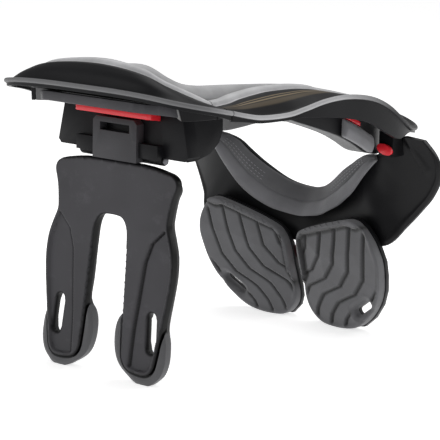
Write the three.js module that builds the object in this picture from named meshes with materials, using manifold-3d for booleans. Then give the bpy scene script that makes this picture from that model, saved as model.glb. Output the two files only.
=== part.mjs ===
// Motocross neck brace: a collar ring in two halves, a back strut with two legs, and two chest pads.
// Units are millimetres. +X is the wearer's right, +Y the wearer's front, +Z up, and Z = 0 is the floor.
// The brace stands on the two strut tips and on the two chest pads, and the origin lies midway between them.
import * as THREE from 'three';
import { mergeVertices } from 'three/addons/utils/BufferGeometryUtils.js';
import Module from 'manifold-3d';

const wasm = await Module();
wasm.setup();

// Driving dimensions of the collar
const RING_HALF = 100;
const COLLAR_DEPTH = 290;
const CREST_HEIGHT = 230;
const CENTRE_Y = 146;
const SHELL = 3;
const BEAD = 2;
const CREST_LAND = 4;
const WALL_DROP = 40;
const SKIRT_DROP = 20;
const PAD_WIDTH = 21;
const PAD_CROWN = 3;
const SPLIT_Y = 0.1845 * COLLAR_DEPTH;
const SPLIT_GAP = 1;
const STEPS = 3;

// Clearances
const FIT = 0.3;
const RUN = 0.5;
const CUT_DEPTH = 40;
const CUT_MARGIN = 0.012;
const THROUGH = 80;

// Rear base plate, lock plate and rear frame
const BASE_HEIGHT = 0.898 * CREST_HEIGHT;
const BASE_REAR_Y = 9;
const BASE_SLOPE = -0.15;
const BASE_THICK = 7;
const BASE_HALF = 56;
const BASE_FRONT_Y = 60;
const BASE_OVERHANG = 18;
const LOCK_HALF = 37;
const LOCK_THICK = 4.5;
const LOCK_REAR_Y = 34;
const LOCK_FRONT_Y = 56;
const FRAME_REAR_Y = 46;
const FRAME_THICK = 13;
const FRAME_HALF = 64;
const SIDE_TOP = 0.835 * CREST_HEIGHT;
const SIDE_THICK = 4;
const SIDE_REACH = 43;
const SIDE_TAPER = 5;
const FRAME_FOOT = 0.7065 * CREST_HEIGHT;

// Strut hinge
const AXIS_Y = 48;
const AXIS_Z = FRAME_FOOT - 2;
const PIN_RADIUS = 1.6;
const PIN_HEAD = 1.2;
const BARREL_RADIUS = 3.6;
const CLIP_HALF = 21.5;
const CLIP_TOP = 0.8187 * CREST_HEIGHT;
const CLIP_THICK = 7.7;
const CLIP_SLOT_HALF = 14.5;
const CLIP_SLOT_HIGH = 6;
const LUG_WIDTH = 18;
const LUG_BOSS = 6;
const LUG_BOSS_TOP = FRAME_FOOT + 9.5;

// Strut plate and its foam
const STRUT_HALF = 63;
const STRUT_TOP = AXIS_Z - 3.2;
const STRUT_FACE_Y = 22.8;
const STRUT_LEAN = 0.11;
const STRUT_THICK = 5.5;
const FOAM_THICK = 6;
const FOAM_LIP = 1.5;
const FOAM_TAPER = 5;
const STRUT_SLOT = { x: 46.5, z: 38, length: 30, width: 8, turn: 94 };

// Shoulder hinge on the left side
const SHOULDER_X = 1.035 * RING_HALF;
const SHOULDER_LUG = 4;
const SHOULDER_PIN = 1.5;
const LUG_SPLIT_Z = 0.889 * CREST_HEIGHT;
const LUG_REACH = 0.09 * RING_HALF;
const LUG_POST = 4;
const LUG_TALL = 4;
const LUG_FOOT_Z = 0.867 * CREST_HEIGHT;

// Lower front frame and lining
const FRONT_HALF = 128;
const SHEET = 4.5;
const LINING_REACH = 22;
const BLOCK = {
  x0: 0.9 * RING_HALF,
  x1: 1.03 * RING_HALF,
  y0: 0.821 * COLLAR_DEPTH,
  y1: 0.876 * COLLAR_DEPTH,
  z0: 0.652 * CREST_HEIGHT,
  z1: 0.739 * CREST_HEIGHT,
};

// Chest pads and plates
const CHEST_FACE_Y = 0.9224 * COLLAR_DEPTH;
const CHEST_LEAN = -0.33;
const CHEST_WRAP = -0.07;
const CHEST_PAD_THICK = 9;
const CHEST_PLATE_THICK = 4;
const CHEST_WIDTH = 0.715 * FRONT_HALF;
const PLATE_MARGIN = 1.2;
const PLATE_LIFT = 1.5;
const CHEST_HEIGHT = 0.4217 * CREST_HEIGHT;
const CHEST_SLOT = { x: 0.72 * CHEST_WIDTH, z: 0.227 * CHEST_HEIGHT, length: 22, width: 6.5, turn: 35 };
const LINK = { half: 0.197 * CHEST_WIDTH, z0: 0.536 * CHEST_HEIGHT, z1: 0.639 * CHEST_HEIGHT, thick: 3 };
const BOSS = {
  x0: 0.306 * CHEST_WIDTH,
  x1: 0.634 * CHEST_WIDTH,
  z0: 0.753 * CHEST_HEIGHT,
  z1: 0.845 * CHEST_HEIGHT,
  reach: 16,
};

// Finishes
const MATERIALS = {
  black: new THREE.MeshStandardMaterial({ color: 0x141416, roughness: 0.45, metalness: 0 }),
  charcoal: new THREE.MeshStandardMaterial({ color: 0x3a3a3f, roughness: 0.55, metalness: 0 }),
  foam: new THREE.MeshStandardMaterial({ color: 0x6f6f73, roughness: 0.9, metalness: 0 }),
  darkFoam: new THREE.MeshStandardMaterial({ color: 0x2a2a2d, roughness: 0.9, metalness: 0 }),
  red: new THREE.MeshStandardMaterial({ color: 0xd22730, roughness: 0.4, metalness: 0 }),
  steel: new THREE.MeshStandardMaterial({ color: 0x8d9096, roughness: 0.35, metalness: 1 }),
};

// Ring stations from the rear centre to the shoulder: bead and crest as shares of
// RING_HALF, COLLAR_DEPTH and CREST_HEIGHT, then the skirt as a share of SKIRT_DROP.
const REAR_STATIONS = [
  { bx: 0.000, by: 0.007, bz: 0.930, cx: 0.000, cy: 0.052, cz: 0.998, skirt: 0.2 },
  { bx: 0.330, by: 0.009, bz: 0.929, cx: 0.270, cy: 0.051, cz: 0.993, skirt: 0.2 },
  { bx: 0.600, by: 0.014, bz: 0.924, cx: 0.510, cy: 0.052, cz: 0.978, skirt: 0.2 },
  { bx: 0.800, by: 0.030, bz: 0.914, cx: 0.670, cy: 0.066, cz: 0.952, skirt: 0.2 },
  { bx: 0.910, by: 0.072, bz: 0.901, cx: 0.775, cy: 0.107, cz: 0.922, skirt: 0.2 },
  { bx: 0.955, by: 0.134, bz: 0.885, cx: 0.820, cy: 0.155, cz: 0.898, skirt: 0.2 },
  { bx: 0.970, by: 0.183, bz: 0.872, cx: 0.835, cy: 0.188, cz: 0.885, skirt: 0.25 },
];

// Ring stations from the shoulder to the front centre, with the inner wall's drop
// as a share of WALL_DROP.
const FRONT_STATIONS = [
  { bx: 0.970, by: 0.183, bz: 0.872, cx: 0.835, cy: 0.188, cz: 0.885, skirt: 0.30, drop: 0.23 },
  { bx: 0.995, by: 0.228, bz: 0.859, cx: 0.845, cy: 0.233, cz: 0.890, skirt: 0.22, drop: 0.23 },
  { bx: 1.025, by: 0.276, bz: 0.850, cx: 0.850, cy: 0.276, cz: 0.900, skirt: 0.20, drop: 0.25 },
  { bx: 1.060, by: 0.359, bz: 0.851, cx: 0.860, cy: 0.355, cz: 0.911, skirt: 0.20, drop: 0.32 },
  { bx: 1.100, by: 0.407, bz: 0.865, cx: 0.880, cy: 0.407, cz: 0.914, skirt: 0.30, drop: 0.46 },
  { bx: 1.140, by: 0.476, bz: 0.885, cx: 0.910, cy: 0.476, cz: 0.913, skirt: 0.60, drop: 0.62 },
  { bx: 1.170, by: 0.552, bz: 0.891, cx: 0.930, cy: 0.552, cz: 0.898, skirt: 0.80, drop: 0.70 },
  { bx: 1.200, by: 0.634, bz: 0.878, cx: 0.940, cy: 0.634, cz: 0.850, skirt: 0.90, drop: 0.62 },
  { bx: 1.210, by: 0.703, bz: 0.846, cx: 0.940, cy: 0.700, cz: 0.820, skirt: 1.00, drop: 0.65 },
  { bx: 1.200, by: 0.766, bz: 0.800, cx: 0.920, cy: 0.762, cz: 0.807, skirt: 0.80, drop: 0.78 },
  { bx: 1.160, by: 0.828, bz: 0.759, cx: 0.880, cy: 0.828, cz: 0.804, skirt: 0.20, drop: 0.85 },
  { bx: 1.075, by: 0.897, bz: 0.746, cx: 0.800, cy: 0.879, cz: 0.805, skirt: 0.20, drop: 0.80 },
  { bx: 0.930, by: 0.945, bz: 0.750, cx: 0.680, cy: 0.908, cz: 0.809, skirt: 0.25, drop: 0.73 },
  { bx: 0.720, by: 0.977, bz: 0.762, cx: 0.520, cy: 0.920, cz: 0.816, skirt: 0.30, drop: 0.68 },
  { bx: 0.400, by: 0.995, bz: 0.776, cx: 0.280, cy: 0.920, cz: 0.825, skirt: 0.30, drop: 0.66 },
  { bx: 0.000, by: 1.000, bz: 0.782, cx: 0.000, cy: 0.917, cz: 0.830, skirt: 0.30, drop: 0.66 },
];

// Lower front frame from the sternum to the shoulder: top edge and outer edge as shares of
// FRONT_HALF, COLLAR_DEPTH and CREST_HEIGHT.
const FRAME_STATIONS = [
  { tx: 0.000, ty: 0.941, tz: 0.476, ox: 0.000, oy: 0.903, oz: 0.287 },
  { tx: 0.156, ty: 0.924, tz: 0.494, ox: 0.200, oy: 0.898, oz: 0.294 },
  { tx: 0.297, ty: 0.895, tz: 0.546, ox: 0.450, oy: 0.886, oz: 0.312 },
  { tx: 0.398, ty: 0.881, tz: 0.588, ox: 0.715, oy: 0.862, oz: 0.339 },
  { tx: 0.484, ty: 0.874, tz: 0.622, ox: 0.810, oy: 0.892, oz: 0.404 },
  { tx: 0.562, ty: 0.862, tz: 0.640, ox: 0.886, oy: 0.910, oz: 0.461 },
  { tx: 0.645, ty: 0.857, tz: 0.650, ox: 0.953, oy: 0.921, oz: 0.517 },
  { tx: 0.719, ty: 0.859, tz: 0.687, ox: 1.000, oy: 0.922, oz: 0.587 },
  { tx: 0.766, ty: 0.862, tz: 0.709, ox: 0.984, oy: 0.909, oz: 0.652 },
  { tx: 0.820, ty: 0.862, tz: 0.720, ox: 0.930, oy: 0.883, oz: 0.709 },
];

// Neck lining from the centre to its upper end: top and bottom edge of its face as shares of
// FRONT_HALF, COLLAR_DEPTH and CREST_HEIGHT.
const LINING_STATIONS = [
  { tx: 0.000, ty: 0.930, tz: 0.478, lx: 0.000, ly: 0.880, lz: 0.384 },
  { tx: 0.123, ty: 0.918, tz: 0.491, lx: 0.120, ly: 0.864, lz: 0.395 },
  { tx: 0.188, ty: 0.907, tz: 0.507, lx: 0.200, ly: 0.860, lz: 0.404 },
  { tx: 0.247, ty: 0.894, tz: 0.527, lx: 0.284, ly: 0.848, lz: 0.427 },
  { tx: 0.305, ty: 0.881, tz: 0.550, lx: 0.357, ly: 0.844, lz: 0.449 },
  { tx: 0.355, ty: 0.872, tz: 0.571, lx: 0.422, ly: 0.839, lz: 0.477 },
  { tx: 0.398, ty: 0.868, tz: 0.588, lx: 0.476, ly: 0.838, lz: 0.505 },
  { tx: 0.439, ty: 0.867, tz: 0.604, lx: 0.523, ly: 0.834, lz: 0.536 },
  { tx: 0.481, ty: 0.865, tz: 0.621, lx: 0.568, ly: 0.831, lz: 0.568 },
  { tx: 0.560, ty: 0.853, tz: 0.642, lx: 0.625, ly: 0.832, lz: 0.606 },
  { tx: 0.625, ty: 0.850, tz: 0.647, lx: 0.660, ly: 0.838, lz: 0.630 },
];

// Half outline of the strut plate from the top centre round one leg to the gap:
// shares of STRUT_HALF and STRUT_TOP.
const STRUT_OUTLINE = [
  [0.400, 0.996], [0.780, 0.978], [0.900, 0.962], [0.950, 0.940], [0.955, 0.910], [0.905, 0.850],
  [0.870, 0.765], [0.875, 0.725], [0.930, 0.670], [0.985, 0.600], [1.000, 0.510], [0.976, 0.413],
  [0.937, 0.318], [0.895, 0.222], [0.857, 0.130], [0.820, 0.078], [0.730, 0.048], [0.570, 0.046],
  [0.430, 0.060], [0.345, 0.100], [0.318, 0.165], [0.298, 0.292], [0.283, 0.420], [0.270, 0.547],
  [0.255, 0.660], [0.225, 0.708], [0.165, 0.738], [0.080, 0.747],
];

// Half outline of the strut foam, which follows the plate and stands proud round the leg tips.
const FOAM_OUTLINE = [
  [0.400, 0.950], [0.780, 0.945], [0.880, 0.935], [0.925, 0.910], [0.925, 0.885], [0.890, 0.850],
  [0.860, 0.765], [0.865, 0.725], [0.915, 0.670], [0.970, 0.600], [0.985, 0.510], [0.962, 0.413],
  [0.930, 0.318], [0.925, 0.262], [0.965, 0.205], [0.975, 0.120], [0.930, 0.060], [0.850, 0.025],
  [0.750, 0.000], [0.570, 0.000], [0.420, 0.030], [0.300, 0.062], [0.220, 0.105], [0.180, 0.165],
  [0.180, 0.235], [0.225, 0.285], [0.315, 0.330], [0.300, 0.420], [0.287, 0.547], [0.275, 0.665],
  [0.235, 0.720], [0.165, 0.755], [0.080, 0.765],
];

// Outline of the right chest pad from its inner top corner outward: shares of CHEST_WIDTH and
// CHEST_HEIGHT.
const CHEST_OUTLINE = [
  [0.092, 0.765], [0.160, 0.830], [0.400, 0.915], [0.680, 0.990], [0.790, 0.995], [0.865, 0.950],
  [0.930, 0.865], [0.970, 0.775], [0.996, 0.670], [0.985, 0.545], [0.955, 0.415], [0.890, 0.285],
  [0.780, 0.155], [0.640, 0.050], [0.500, 0.008], [0.330, 0.000], [0.200, 0.025], [0.100, 0.115],
  [0.060, 0.200], [0.052, 0.290], [0.060, 0.480], [0.062, 0.660],
];

// Geometry helpers
const vector = (x, y, z) => new THREE.Vector3(x, y - CENTRE_Y, z);

function volumeOf(positions, index) {
  let sum = 0;
  for (let i = 0; i < index.length; i += 3) {
    const [a, b, c] = [0, 1, 2].map((k) => positions[index[i + k]]);
    sum += a.dot(new THREE.Vector3().crossVectors(b, c)) / 6;
  }
  return sum;
}

function geometryOf(positions, index) {
  const outward = volumeOf(positions, index) > 0;
  const faces = [];
  for (let i = 0; i < index.length; i += 3) {
    const [a, b, c] = index.slice(i, i + 3);
    faces.push(...(outward ? [a, b, c] : [a, c, b]));
  }
  const geometry = new THREE.BufferGeometry();
  geometry.setAttribute('position', new THREE.Float32BufferAttribute(positions.flatMap((p) => p.toArray()), 3));
  geometry.setIndex(faces);
  return geometry;
}

// A closed body through rings of equal point count, with flat ends.
function loft(rings, endOutlines) {
  const count = rings[0].length;
  const positions = rings.flat();
  const index = [];
  for (let r = 0; r < rings.length - 1; r += 1) {
    for (let i = 0; i < count; i += 1) {
      const j = (i + 1) % count;
      const a = r * count + i;
      const b = r * count + j;
      index.push(a, b, b + count, a, b + count, a + count);
    }
  }
  const last = (rings.length - 1) * count;
  const first = THREE.ShapeUtils.triangulateShape(endOutlines[0], []);
  const end = THREE.ShapeUtils.triangulateShape(endOutlines[1], []);
  const turn = THREE.ShapeUtils.isClockWise(endOutlines[0]) ? 1 : -1;
  first.forEach(([a, b, c]) => index.push(...(turn > 0 ? [a, b, c] : [a, c, b])));
  end.forEach(([a, b, c]) => index.push(...(turn > 0 ? [last + a, last + c, last + b] : [last + a, last + b, last + c])));
  return orient(positions, index, count, rings.length);
}

// The side walls decide which way the end faces must turn, so both ways are tried.
function orient(positions, index, count, ringCount) {
  const sides = (ringCount - 1) * count * 6;
  const caps = index.slice(sides);
  const flipped = [];
  for (let i = 0; i < caps.length; i += 3) {
    flipped.push(caps[i], caps[i + 2], caps[i + 1]);
  }
  const direct = new Set(index.slice(0, sides).map((v, k, all) => `${v}>${all[k - (k % 3) + ((k % 3) + 1) % 3]}`));
  const clash = caps.some((v, k, all) => direct.has(`${v}>${all[k - (k % 3) + ((k % 3) + 1) % 3]}`));
  return geometryOf(positions, index.slice(0, sides).concat(clash ? flipped : caps));
}

// A flat outline with holes, carried to two faces by place(u, v, side).
function slab(outline, holes, place) {
  const contour = outline.map(([u, v]) => new THREE.Vector2(u, v));
  const cuts = holes.map((hole) => hole.map(([u, v]) => new THREE.Vector2(u, v)));
  if (THREE.ShapeUtils.isClockWise(contour)) contour.reverse();
  cuts.forEach((cut) => {
    if (!THREE.ShapeUtils.isClockWise(cut)) cut.reverse();
  });
  const faces = THREE.ShapeUtils.triangulateShape(contour, cuts);
  const flat = contour.concat(...cuts);
  const positions = [0, 1].flatMap((side) => flat.map((p) => place(p.x, p.y, side)));
  const index = [];
  faces.forEach(([a, b, c]) => index.push(a, b, c, a + flat.length, c + flat.length, b + flat.length));
  let start = 0;
  [contour, ...cuts].forEach((loop) => {
    loop.forEach((_, i) => {
      const a = start + i;
      const b = start + (i + 1) % loop.length;
      index.push(b, a, a + flat.length, b, a + flat.length, b + flat.length);
    });
    start += loop.length;
  });
  return geometryOf(positions, index);
}

function solidOf(geometry) {
  const bare = geometry.clone();
  bare.deleteAttribute('normal');
  bare.deleteAttribute('uv');
  const merged = mergeVertices(bare, 1e-4);
  return new wasm.Manifold(new wasm.Mesh({
    numProp: 3,
    vertProperties: new Float32Array(merged.attributes.position.array),
    triVerts: new Uint32Array(merged.index.array),
  }));
}

function geometryFrom(solid) {
  const mesh = solid.getMesh();
  const geometry = new THREE.BufferGeometry();
  geometry.setAttribute('position', new THREE.Float32BufferAttribute(mesh.vertProperties, 3));
  geometry.setIndex(new THREE.Uint32BufferAttribute(mesh.triVerts, 1));
  return geometry;
}

const cut = (geometry, ...tools) => geometryFrom(tools.reduce((s, t) => s.subtract(solidOf(t)), solidOf(geometry)));
const join = (...parts) => geometryFrom(parts.slice(1).reduce((s, p) => s.add(solidOf(p)), solidOf(parts[0])));

function boxBetween(x0, x1, y0, y1, z0, z1) {
  const geometry = new THREE.BoxGeometry(x1 - x0, y1 - y0, z1 - z0);
  geometry.translate((x0 + x1) / 2, (y0 + y1) / 2 - CENTRE_Y, (z0 + z1) / 2);
  return geometry;
}

function rodAlongX(radius, x0, x1, y, z, sides = 16) {
  const geometry = new THREE.CylinderGeometry(radius, radius, x1 - x0, sides);
  geometry.rotateZ(Math.PI / 2);
  geometry.translate((x0 + x1) / 2, y - CENTRE_Y, z);
  return geometry;
}

function rodAlongZ(radius, z0, z1, x, y, sides = 16) {
  const geometry = new THREE.CylinderGeometry(radius, radius, z1 - z0, sides);
  geometry.rotateX(Math.PI / 2);
  geometry.translate(x, y - CENTRE_Y, (z0 + z1) / 2);
  return geometry;
}

// A pin with a head at each end, turned about its own length.
function headedPin(radius, head, thick, length) {
  const half = length / 2;
  const profile = [
    [0, -half], [head, -half], [head, -half + thick], [radius, -half + thick],
    [radius, half - thick], [head, half - thick], [head, half], [0, half],
  ];
  return new THREE.LatheGeometry(profile.map(([r, h]) => new THREE.Vector2(r, h)), 16);
}

function slotOutline({ x, z, length, width, turn }, grow = 0) {
  const radius = width / 2 + grow;
  const reach = length / 2 - width / 2;
  const angle = THREE.MathUtils.degToRad(turn);
  const points = [];
  for (let k = 0; k <= 12; k += 1) {
    const side = k <= 6 ? 1 : -1;
    const a = angle - Math.PI / 2 + (Math.PI * (k <= 6 ? k : k - 1)) / 6;
    points.push([
      x + side * reach * Math.cos(angle) + radius * Math.cos(a),
      z + side * reach * Math.sin(angle) + radius * Math.sin(a),
    ]);
  }
  points.push([
    x - reach * Math.cos(angle) + radius * Math.cos(angle + 1.5 * Math.PI),
    z - reach * Math.sin(angle) + radius * Math.sin(angle + 1.5 * Math.PI),
  ]);
  return points;
}

// An outline moved outward by a distance, point by point along the mean of its edge normals.
function offsetOutline(outline, distance) {
  const area = THREE.ShapeUtils.area(outline.map(([x, y]) => new THREE.Vector2(x, y)));
  const sign = Math.sign(area) * distance;
  return outline.map(([x, y], i) => {
    const [px, py] = outline[(i + outline.length - 1) % outline.length];
    const [nx, ny] = outline[(i + 1) % outline.length];
    const length = Math.hypot(nx - px, ny - py);
    return [x + (sign * (ny - py)) / length, y - (sign * (nx - px)) / length];
  });
}

const inset = (outline, distance) => offsetOutline(outline, -distance);

// Whole rows across the object: the right half's rows, and the same mirrored to the left.
function mirrorRows(rows, xKeys) {
  const left = rows.slice(1).reverse().map((row) => {
    const twin = { ...row };
    xKeys.forEach((key) => { twin[key] = -row[key]; });
    return twin;
  });
  return left.concat(rows);
}

// Smooth rows between the given ones, by a Catmull-Rom curve through each column.
function smoothRows(rows, steps) {
  const keys = Object.keys(rows[0]);
  const at = (i) => rows[Math.min(Math.max(i, 0), rows.length - 1)];
  const out = [];
  for (let i = 0; i < rows.length - 1; i += 1) {
    for (let s = 0; s < steps; s += 1) {
      const t = s / steps;
      const row = {};
      keys.forEach((key) => {
        const [a, b, c, d] = [at(i - 1)[key], at(i)[key], at(i + 1)[key], at(i + 2)[key]];
        row[key] = b + 0.5 * t * (c - a + t * (2 * a - 5 * b + 4 * c - d + t * (3 * (b - c) + d - a)));
      });
      out.push(row);
    }
  }
  out.push(rows[rows.length - 1]);
  return out;
}

// Ring sections
const baseTop = (y) => BASE_HEIGHT + BASE_SLOPE * (y - BASE_REAR_Y);

function stationFrame(row, shiftY = 0) {
  const bead = vector(row.bx * RING_HALF, row.by * COLLAR_DEPTH + shiftY, row.bz * CREST_HEIGHT);
  const crest = vector(row.cx * RING_HALF, row.cy * COLLAR_DEPTH + shiftY, row.cz * CREST_HEIGHT);
  const across = new THREE.Vector3(crest.x - bead.x, crest.y - bead.y, 0);
  const width = across.length();
  across.normalize();
  const put = ([h, z]) => new THREE.Vector3(bead.x + across.x * h, bead.y + across.y * h, z);
  return { bead, crest, width, put };
}

function shellSection({ bead, crest, width }, skirt, wallFoot) {
  const inner = width + CREST_LAND;
  return [
    [0, bead.z - skirt],
    [0, bead.z - BEAD],
    [-BEAD, bead.z - BEAD / 2],
    [-BEAD, bead.z + BEAD / 2],
    [-BEAD / 4, bead.z + BEAD],
    [SHELL, bead.z + BEAD / 2],
    [width * 0.55, bead.z + (crest.z - bead.z) * 0.6 + 1],
    [width, crest.z],
    [inner, crest.z],
    [inner, wallFoot],
    [inner - SHELL, wallFoot],
    [inner - SHELL, crest.z - SHELL],
    [width * 0.55, bead.z + (crest.z - bead.z) * 0.6 + 1 - SHELL],
    [SHELL, bead.z - BEAD],
    [SHELL, bead.z - skirt],
  ];
}

function padSection({ crest, width }, foot) {
  const start = width + CREST_LAND + FIT;
  const end = start + PAD_WIDTH;
  const top = crest.z + PAD_CROWN;
  return [
    [start, foot],
    [start, crest.z + FIT],
    [start + PAD_WIDTH * 0.12, top - 0.6],
    [start + PAD_WIDTH * 0.4, top],
    [start + PAD_WIDTH * 0.72, top - PAD_CROWN * 0.9],
    [end - PAD_WIDTH * 0.06, top - PAD_CROWN * 2.4],
    [end, (top + foot) / 2 - 1],
    [end - PAD_WIDTH * 0.08, foot + 1.6],
    [end - PAD_WIDTH * 0.25, foot],
  ];
}

function ringBody(rows, section) {
  const frames = rows.map((row) => section(row));
  const rings = frames.map(({ frame, points }) => points.map(frame.put));
  const ends = [frames[0], frames[frames.length - 1]].map(({ points }) => points.map(([h, z]) => new THREE.Vector2(h, z)));
  return loft(rings, ends);
}

const rearRows = smoothRows(mirrorRows(REAR_STATIONS, ['bx', 'cx']), STEPS);
const frontRows = smoothRows(mirrorRows(FRONT_STATIONS.slice().reverse(), ['bx', 'cx']), STEPS);

function rearFoot(row) {
  const wallY = row.cy * COLLAR_DEPTH;
  const overBase = Math.abs(row.cx) * RING_HALF < BASE_HALF + BASE_OVERHANG;
  const frameTop = baseTop(FRAME_REAR_Y) - BASE_THICK + 2 * FIT;
  return overBase ? baseTop(wallY) + FIT : frameTop;
}

function rearShell(row) {
  const frame = stationFrame(row);
  const foot = Math.min(rearFoot(row), frame.crest.z - SHELL - 1);
  return { frame, points: shellSection(frame, row.skirt * SKIRT_DROP, foot) };
}

function rearPad(row) {
  const frame = stationFrame(row);
  return { frame, points: padSection(frame, rearFoot(row)) };
}

function frontShell(row) {
  const frame = stationFrame(row, SPLIT_GAP);
  return { frame, points: shellSection(frame, row.skirt * SKIRT_DROP, frame.crest.z - row.drop * WALL_DROP) };
}

function frontPad(row) {
  const frame = stationFrame(row, SPLIT_GAP);
  return { frame, points: padSection(frame, frame.crest.z - row.drop * WALL_DROP) };
}

// Shoulder hinge: one lug on each deck, one above the other, on a headed pin
function shoulderLug(z0, z1, y0, y1) {
  const barrel = rodAlongZ(SHOULDER_LUG, z0, z1, -SHOULDER_X, SPLIT_Y);
  const inner = LUG_REACH - SHOULDER_X;
  const tab = boxBetween(-SHOULDER_X, inner, y0, y1, z0, z1);
  const post = boxBetween(inner - LUG_POST, inner, y0, y1, LUG_FOOT_Z, z1);
  return cut(join(barrel, tab, post), rodAlongZ(SHOULDER_PIN + FIT, z0 - 1, z1 + 1, -SHOULDER_X, SPLIT_Y));
}

function rearDeck() {
  const lug = shoulderLug(LUG_SPLIT_Z + FIT, LUG_SPLIT_Z + FIT + LUG_TALL, SPLIT_Y - 8, SPLIT_Y - 1);
  return join(ringBody(rearRows, rearShell), lug);
}

function frontDeck() {
  const lug = shoulderLug(LUG_SPLIT_Z - LUG_TALL, LUG_SPLIT_Z, SPLIT_Y + 1.5, SPLIT_Y + 8);
  return join(ringBody(frontRows, frontShell), lug);
}

function shoulderPin() {
  const length = 2 * LUG_TALL + FIT + 2 * (PIN_HEAD + FIT);
  const geometry = headedPin(SHOULDER_PIN, SHOULDER_PIN + PIN_HEAD, PIN_HEAD, length);
  geometry.rotateX(Math.PI / 2);
  geometry.translate(-SHOULDER_X, SPLIT_Y - CENTRE_Y, LUG_SPLIT_Z + FIT / 2);
  return geometry;
}

// Rear base plate under the deck, and the red lock plate under it
const BASE_OUTLINE = [
  [0.790, BASE_REAR_Y], [0.900, 13], [1.000, 24], [1.160, 34], [1.140, 40], [0.960, 45], [0.790, BASE_FRONT_Y],
];

function basePlate(grow = 0) {
  const half = BASE_OUTLINE.map(([x, y]) => [x * BASE_HALF, y]);
  const outline = offsetOutline(half.concat(half.slice().reverse().map(([x, y]) => [-x, y])), grow);
  return slab(outline, [], (x, y, side) => vector(x, y, baseTop(y) + grow - side * (BASE_THICK + 2 * grow)));
}

function lockPlate() {
  const outline = [
    [-LOCK_HALF, LOCK_REAR_Y + 2], [-LOCK_HALF + 2, LOCK_REAR_Y], [LOCK_HALF - 2, LOCK_REAR_Y],
    [LOCK_HALF, LOCK_REAR_Y + 2], [LOCK_HALF, LOCK_FRONT_Y], [-LOCK_HALF, LOCK_FRONT_Y],
  ];
  return slab(outline, [], (x, y, side) => vector(x, y, baseTop(y) - BASE_THICK - FIT - side * LOCK_THICK));
}

// Rear frame: the black housing under the base plate. Its rear wall holds the strut hinge and its
// two side walls run forward under the ring.
const SIDE_OUTLINE = [
  [0.000, 0.000], [0.200, 0.000], [0.560, 0.110], [0.820, 0.340], [0.960, 0.620], [1.000, 1.000], [0.000, 1.000],
];

function rearFrame() {
  const top = baseTop(FRAME_REAR_Y) - BASE_THICK - FIT;
  const notch = LOCK_HALF + FIT;
  const barrelTop = AXIS_Z + BARREL_RADIUS + RUN;
  const half = [
    [CLIP_HALF + RUN, barrelTop], [CLIP_HALF + RUN, FRAME_FOOT], [FRAME_HALF - 3, FRAME_FOOT],
    [FRAME_HALF, FRAME_FOOT + 3], [FRAME_HALF - 6, top], [notch, top], [notch, top - LOCK_THICK - FIT],
  ];
  const outline = half.concat(half.slice().reverse().map(([x, z]) => [-x, z]));
  const housing = slab(outline, [], (x, z, side) => {
    const isTop = z > top - LOCK_THICK - 2 * FIT;
    return vector(x, FRAME_REAR_Y + side * FRAME_THICK, z + (isTop ? BASE_SLOPE * side * FRAME_THICK : 0));
  });
  const tall = SIDE_TOP - FRAME_FOOT;
  const walls = [-1, 1].map((side) => slab(SIDE_OUTLINE, [], (u, v, face) => {
    const x = FRAME_HALF - 1 - face * SIDE_THICK - SIDE_TAPER * v;
    return vector(side * x, FRAME_REAR_Y + 1 + u * SIDE_REACH, FRAME_FOOT + v * tall);
  }));
  const outer = CLIP_HALF + RUN + LUG_WIDTH;
  const span = (side, a, b) => [side * a, side * b].sort((p, q) => p - q);
  const lugs = [-1, 1].flatMap((side) => {
    const [x0, x1] = span(side, CLIP_HALF + RUN, outer);
    return [
      rodAlongX(BARREL_RADIUS, x0, x1, AXIS_Y, AXIS_Z),
      boxBetween(x0, x1, AXIS_Y - BARREL_RADIUS, AXIS_Y + BARREL_RADIUS, AXIS_Z, FRAME_FOOT + 2),
      boxBetween(x0, x1, FRAME_REAR_Y - LUG_BOSS, FRAME_REAR_Y + 1, AXIS_Z + 1, LUG_BOSS_TOP),
    ];
  });
  const bore = rodAlongX(PIN_RADIUS + FIT, -STRUT_HALF, STRUT_HALF, AXIS_Y, AXIS_Z);
  const heads = [-1, 1].map((side) => {
    const [x0, x1] = span(side, outer, outer + PIN_HEAD + 2 * FIT);
    return rodAlongX(PIN_RADIUS + PIN_HEAD + FIT, x0, x1, AXIS_Y, AXIS_Z);
  });
  return cut(join(housing, ...walls, ...lugs), bore, ...heads);
}

function strutPin() {
  const length = 2 * (CLIP_HALF + RUN + LUG_WIDTH + FIT + PIN_HEAD);
  const geometry = headedPin(PIN_RADIUS, PIN_RADIUS + PIN_HEAD, PIN_HEAD, length);
  geometry.rotateZ(Math.PI / 2);
  geometry.translate(0, AXIS_Y - CENTRE_Y, AXIS_Z);
  return geometry;
}

// Strut clip: the slotted tongue that stands above the hinge and turns with the strut
function strutClip() {
  const foot = STRUT_TOP + FIT;
  const r = 3;
  const outline = [
    [-CLIP_HALF, foot], [CLIP_HALF, foot], [CLIP_HALF, CLIP_TOP - r], [CLIP_HALF - r, CLIP_TOP],
    [-CLIP_HALF + r, CLIP_TOP], [-CLIP_HALF, CLIP_TOP - r],
  ];
  const slotTop = CLIP_TOP - 4;
  const slot = [
    [-CLIP_SLOT_HALF, slotTop - CLIP_SLOT_HIGH], [CLIP_SLOT_HALF, slotTop - CLIP_SLOT_HIGH],
    [CLIP_SLOT_HALF, slotTop], [-CLIP_SLOT_HALF, slotTop],
  ];
  const face = FRAME_REAR_Y - FIT - CLIP_THICK;
  const tongue = slab(outline, [slot], (x, z, side) => vector(x, face + side * CLIP_THICK, z));
  const barrel = rodAlongX(BARREL_RADIUS, -CLIP_HALF, CLIP_HALF, AXIS_Y, AXIS_Z);
  const bore = rodAlongX(PIN_RADIUS + FIT, -STRUT_HALF, STRUT_HALF, AXIS_Y, AXIS_Z);
  return cut(join(tongue, barrel), bore);
}

// Strut plate and foam, both leaning with their tips towards the wearer's back
const strutFace = (z) => STRUT_FACE_Y + STRUT_LEAN * z;

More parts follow.
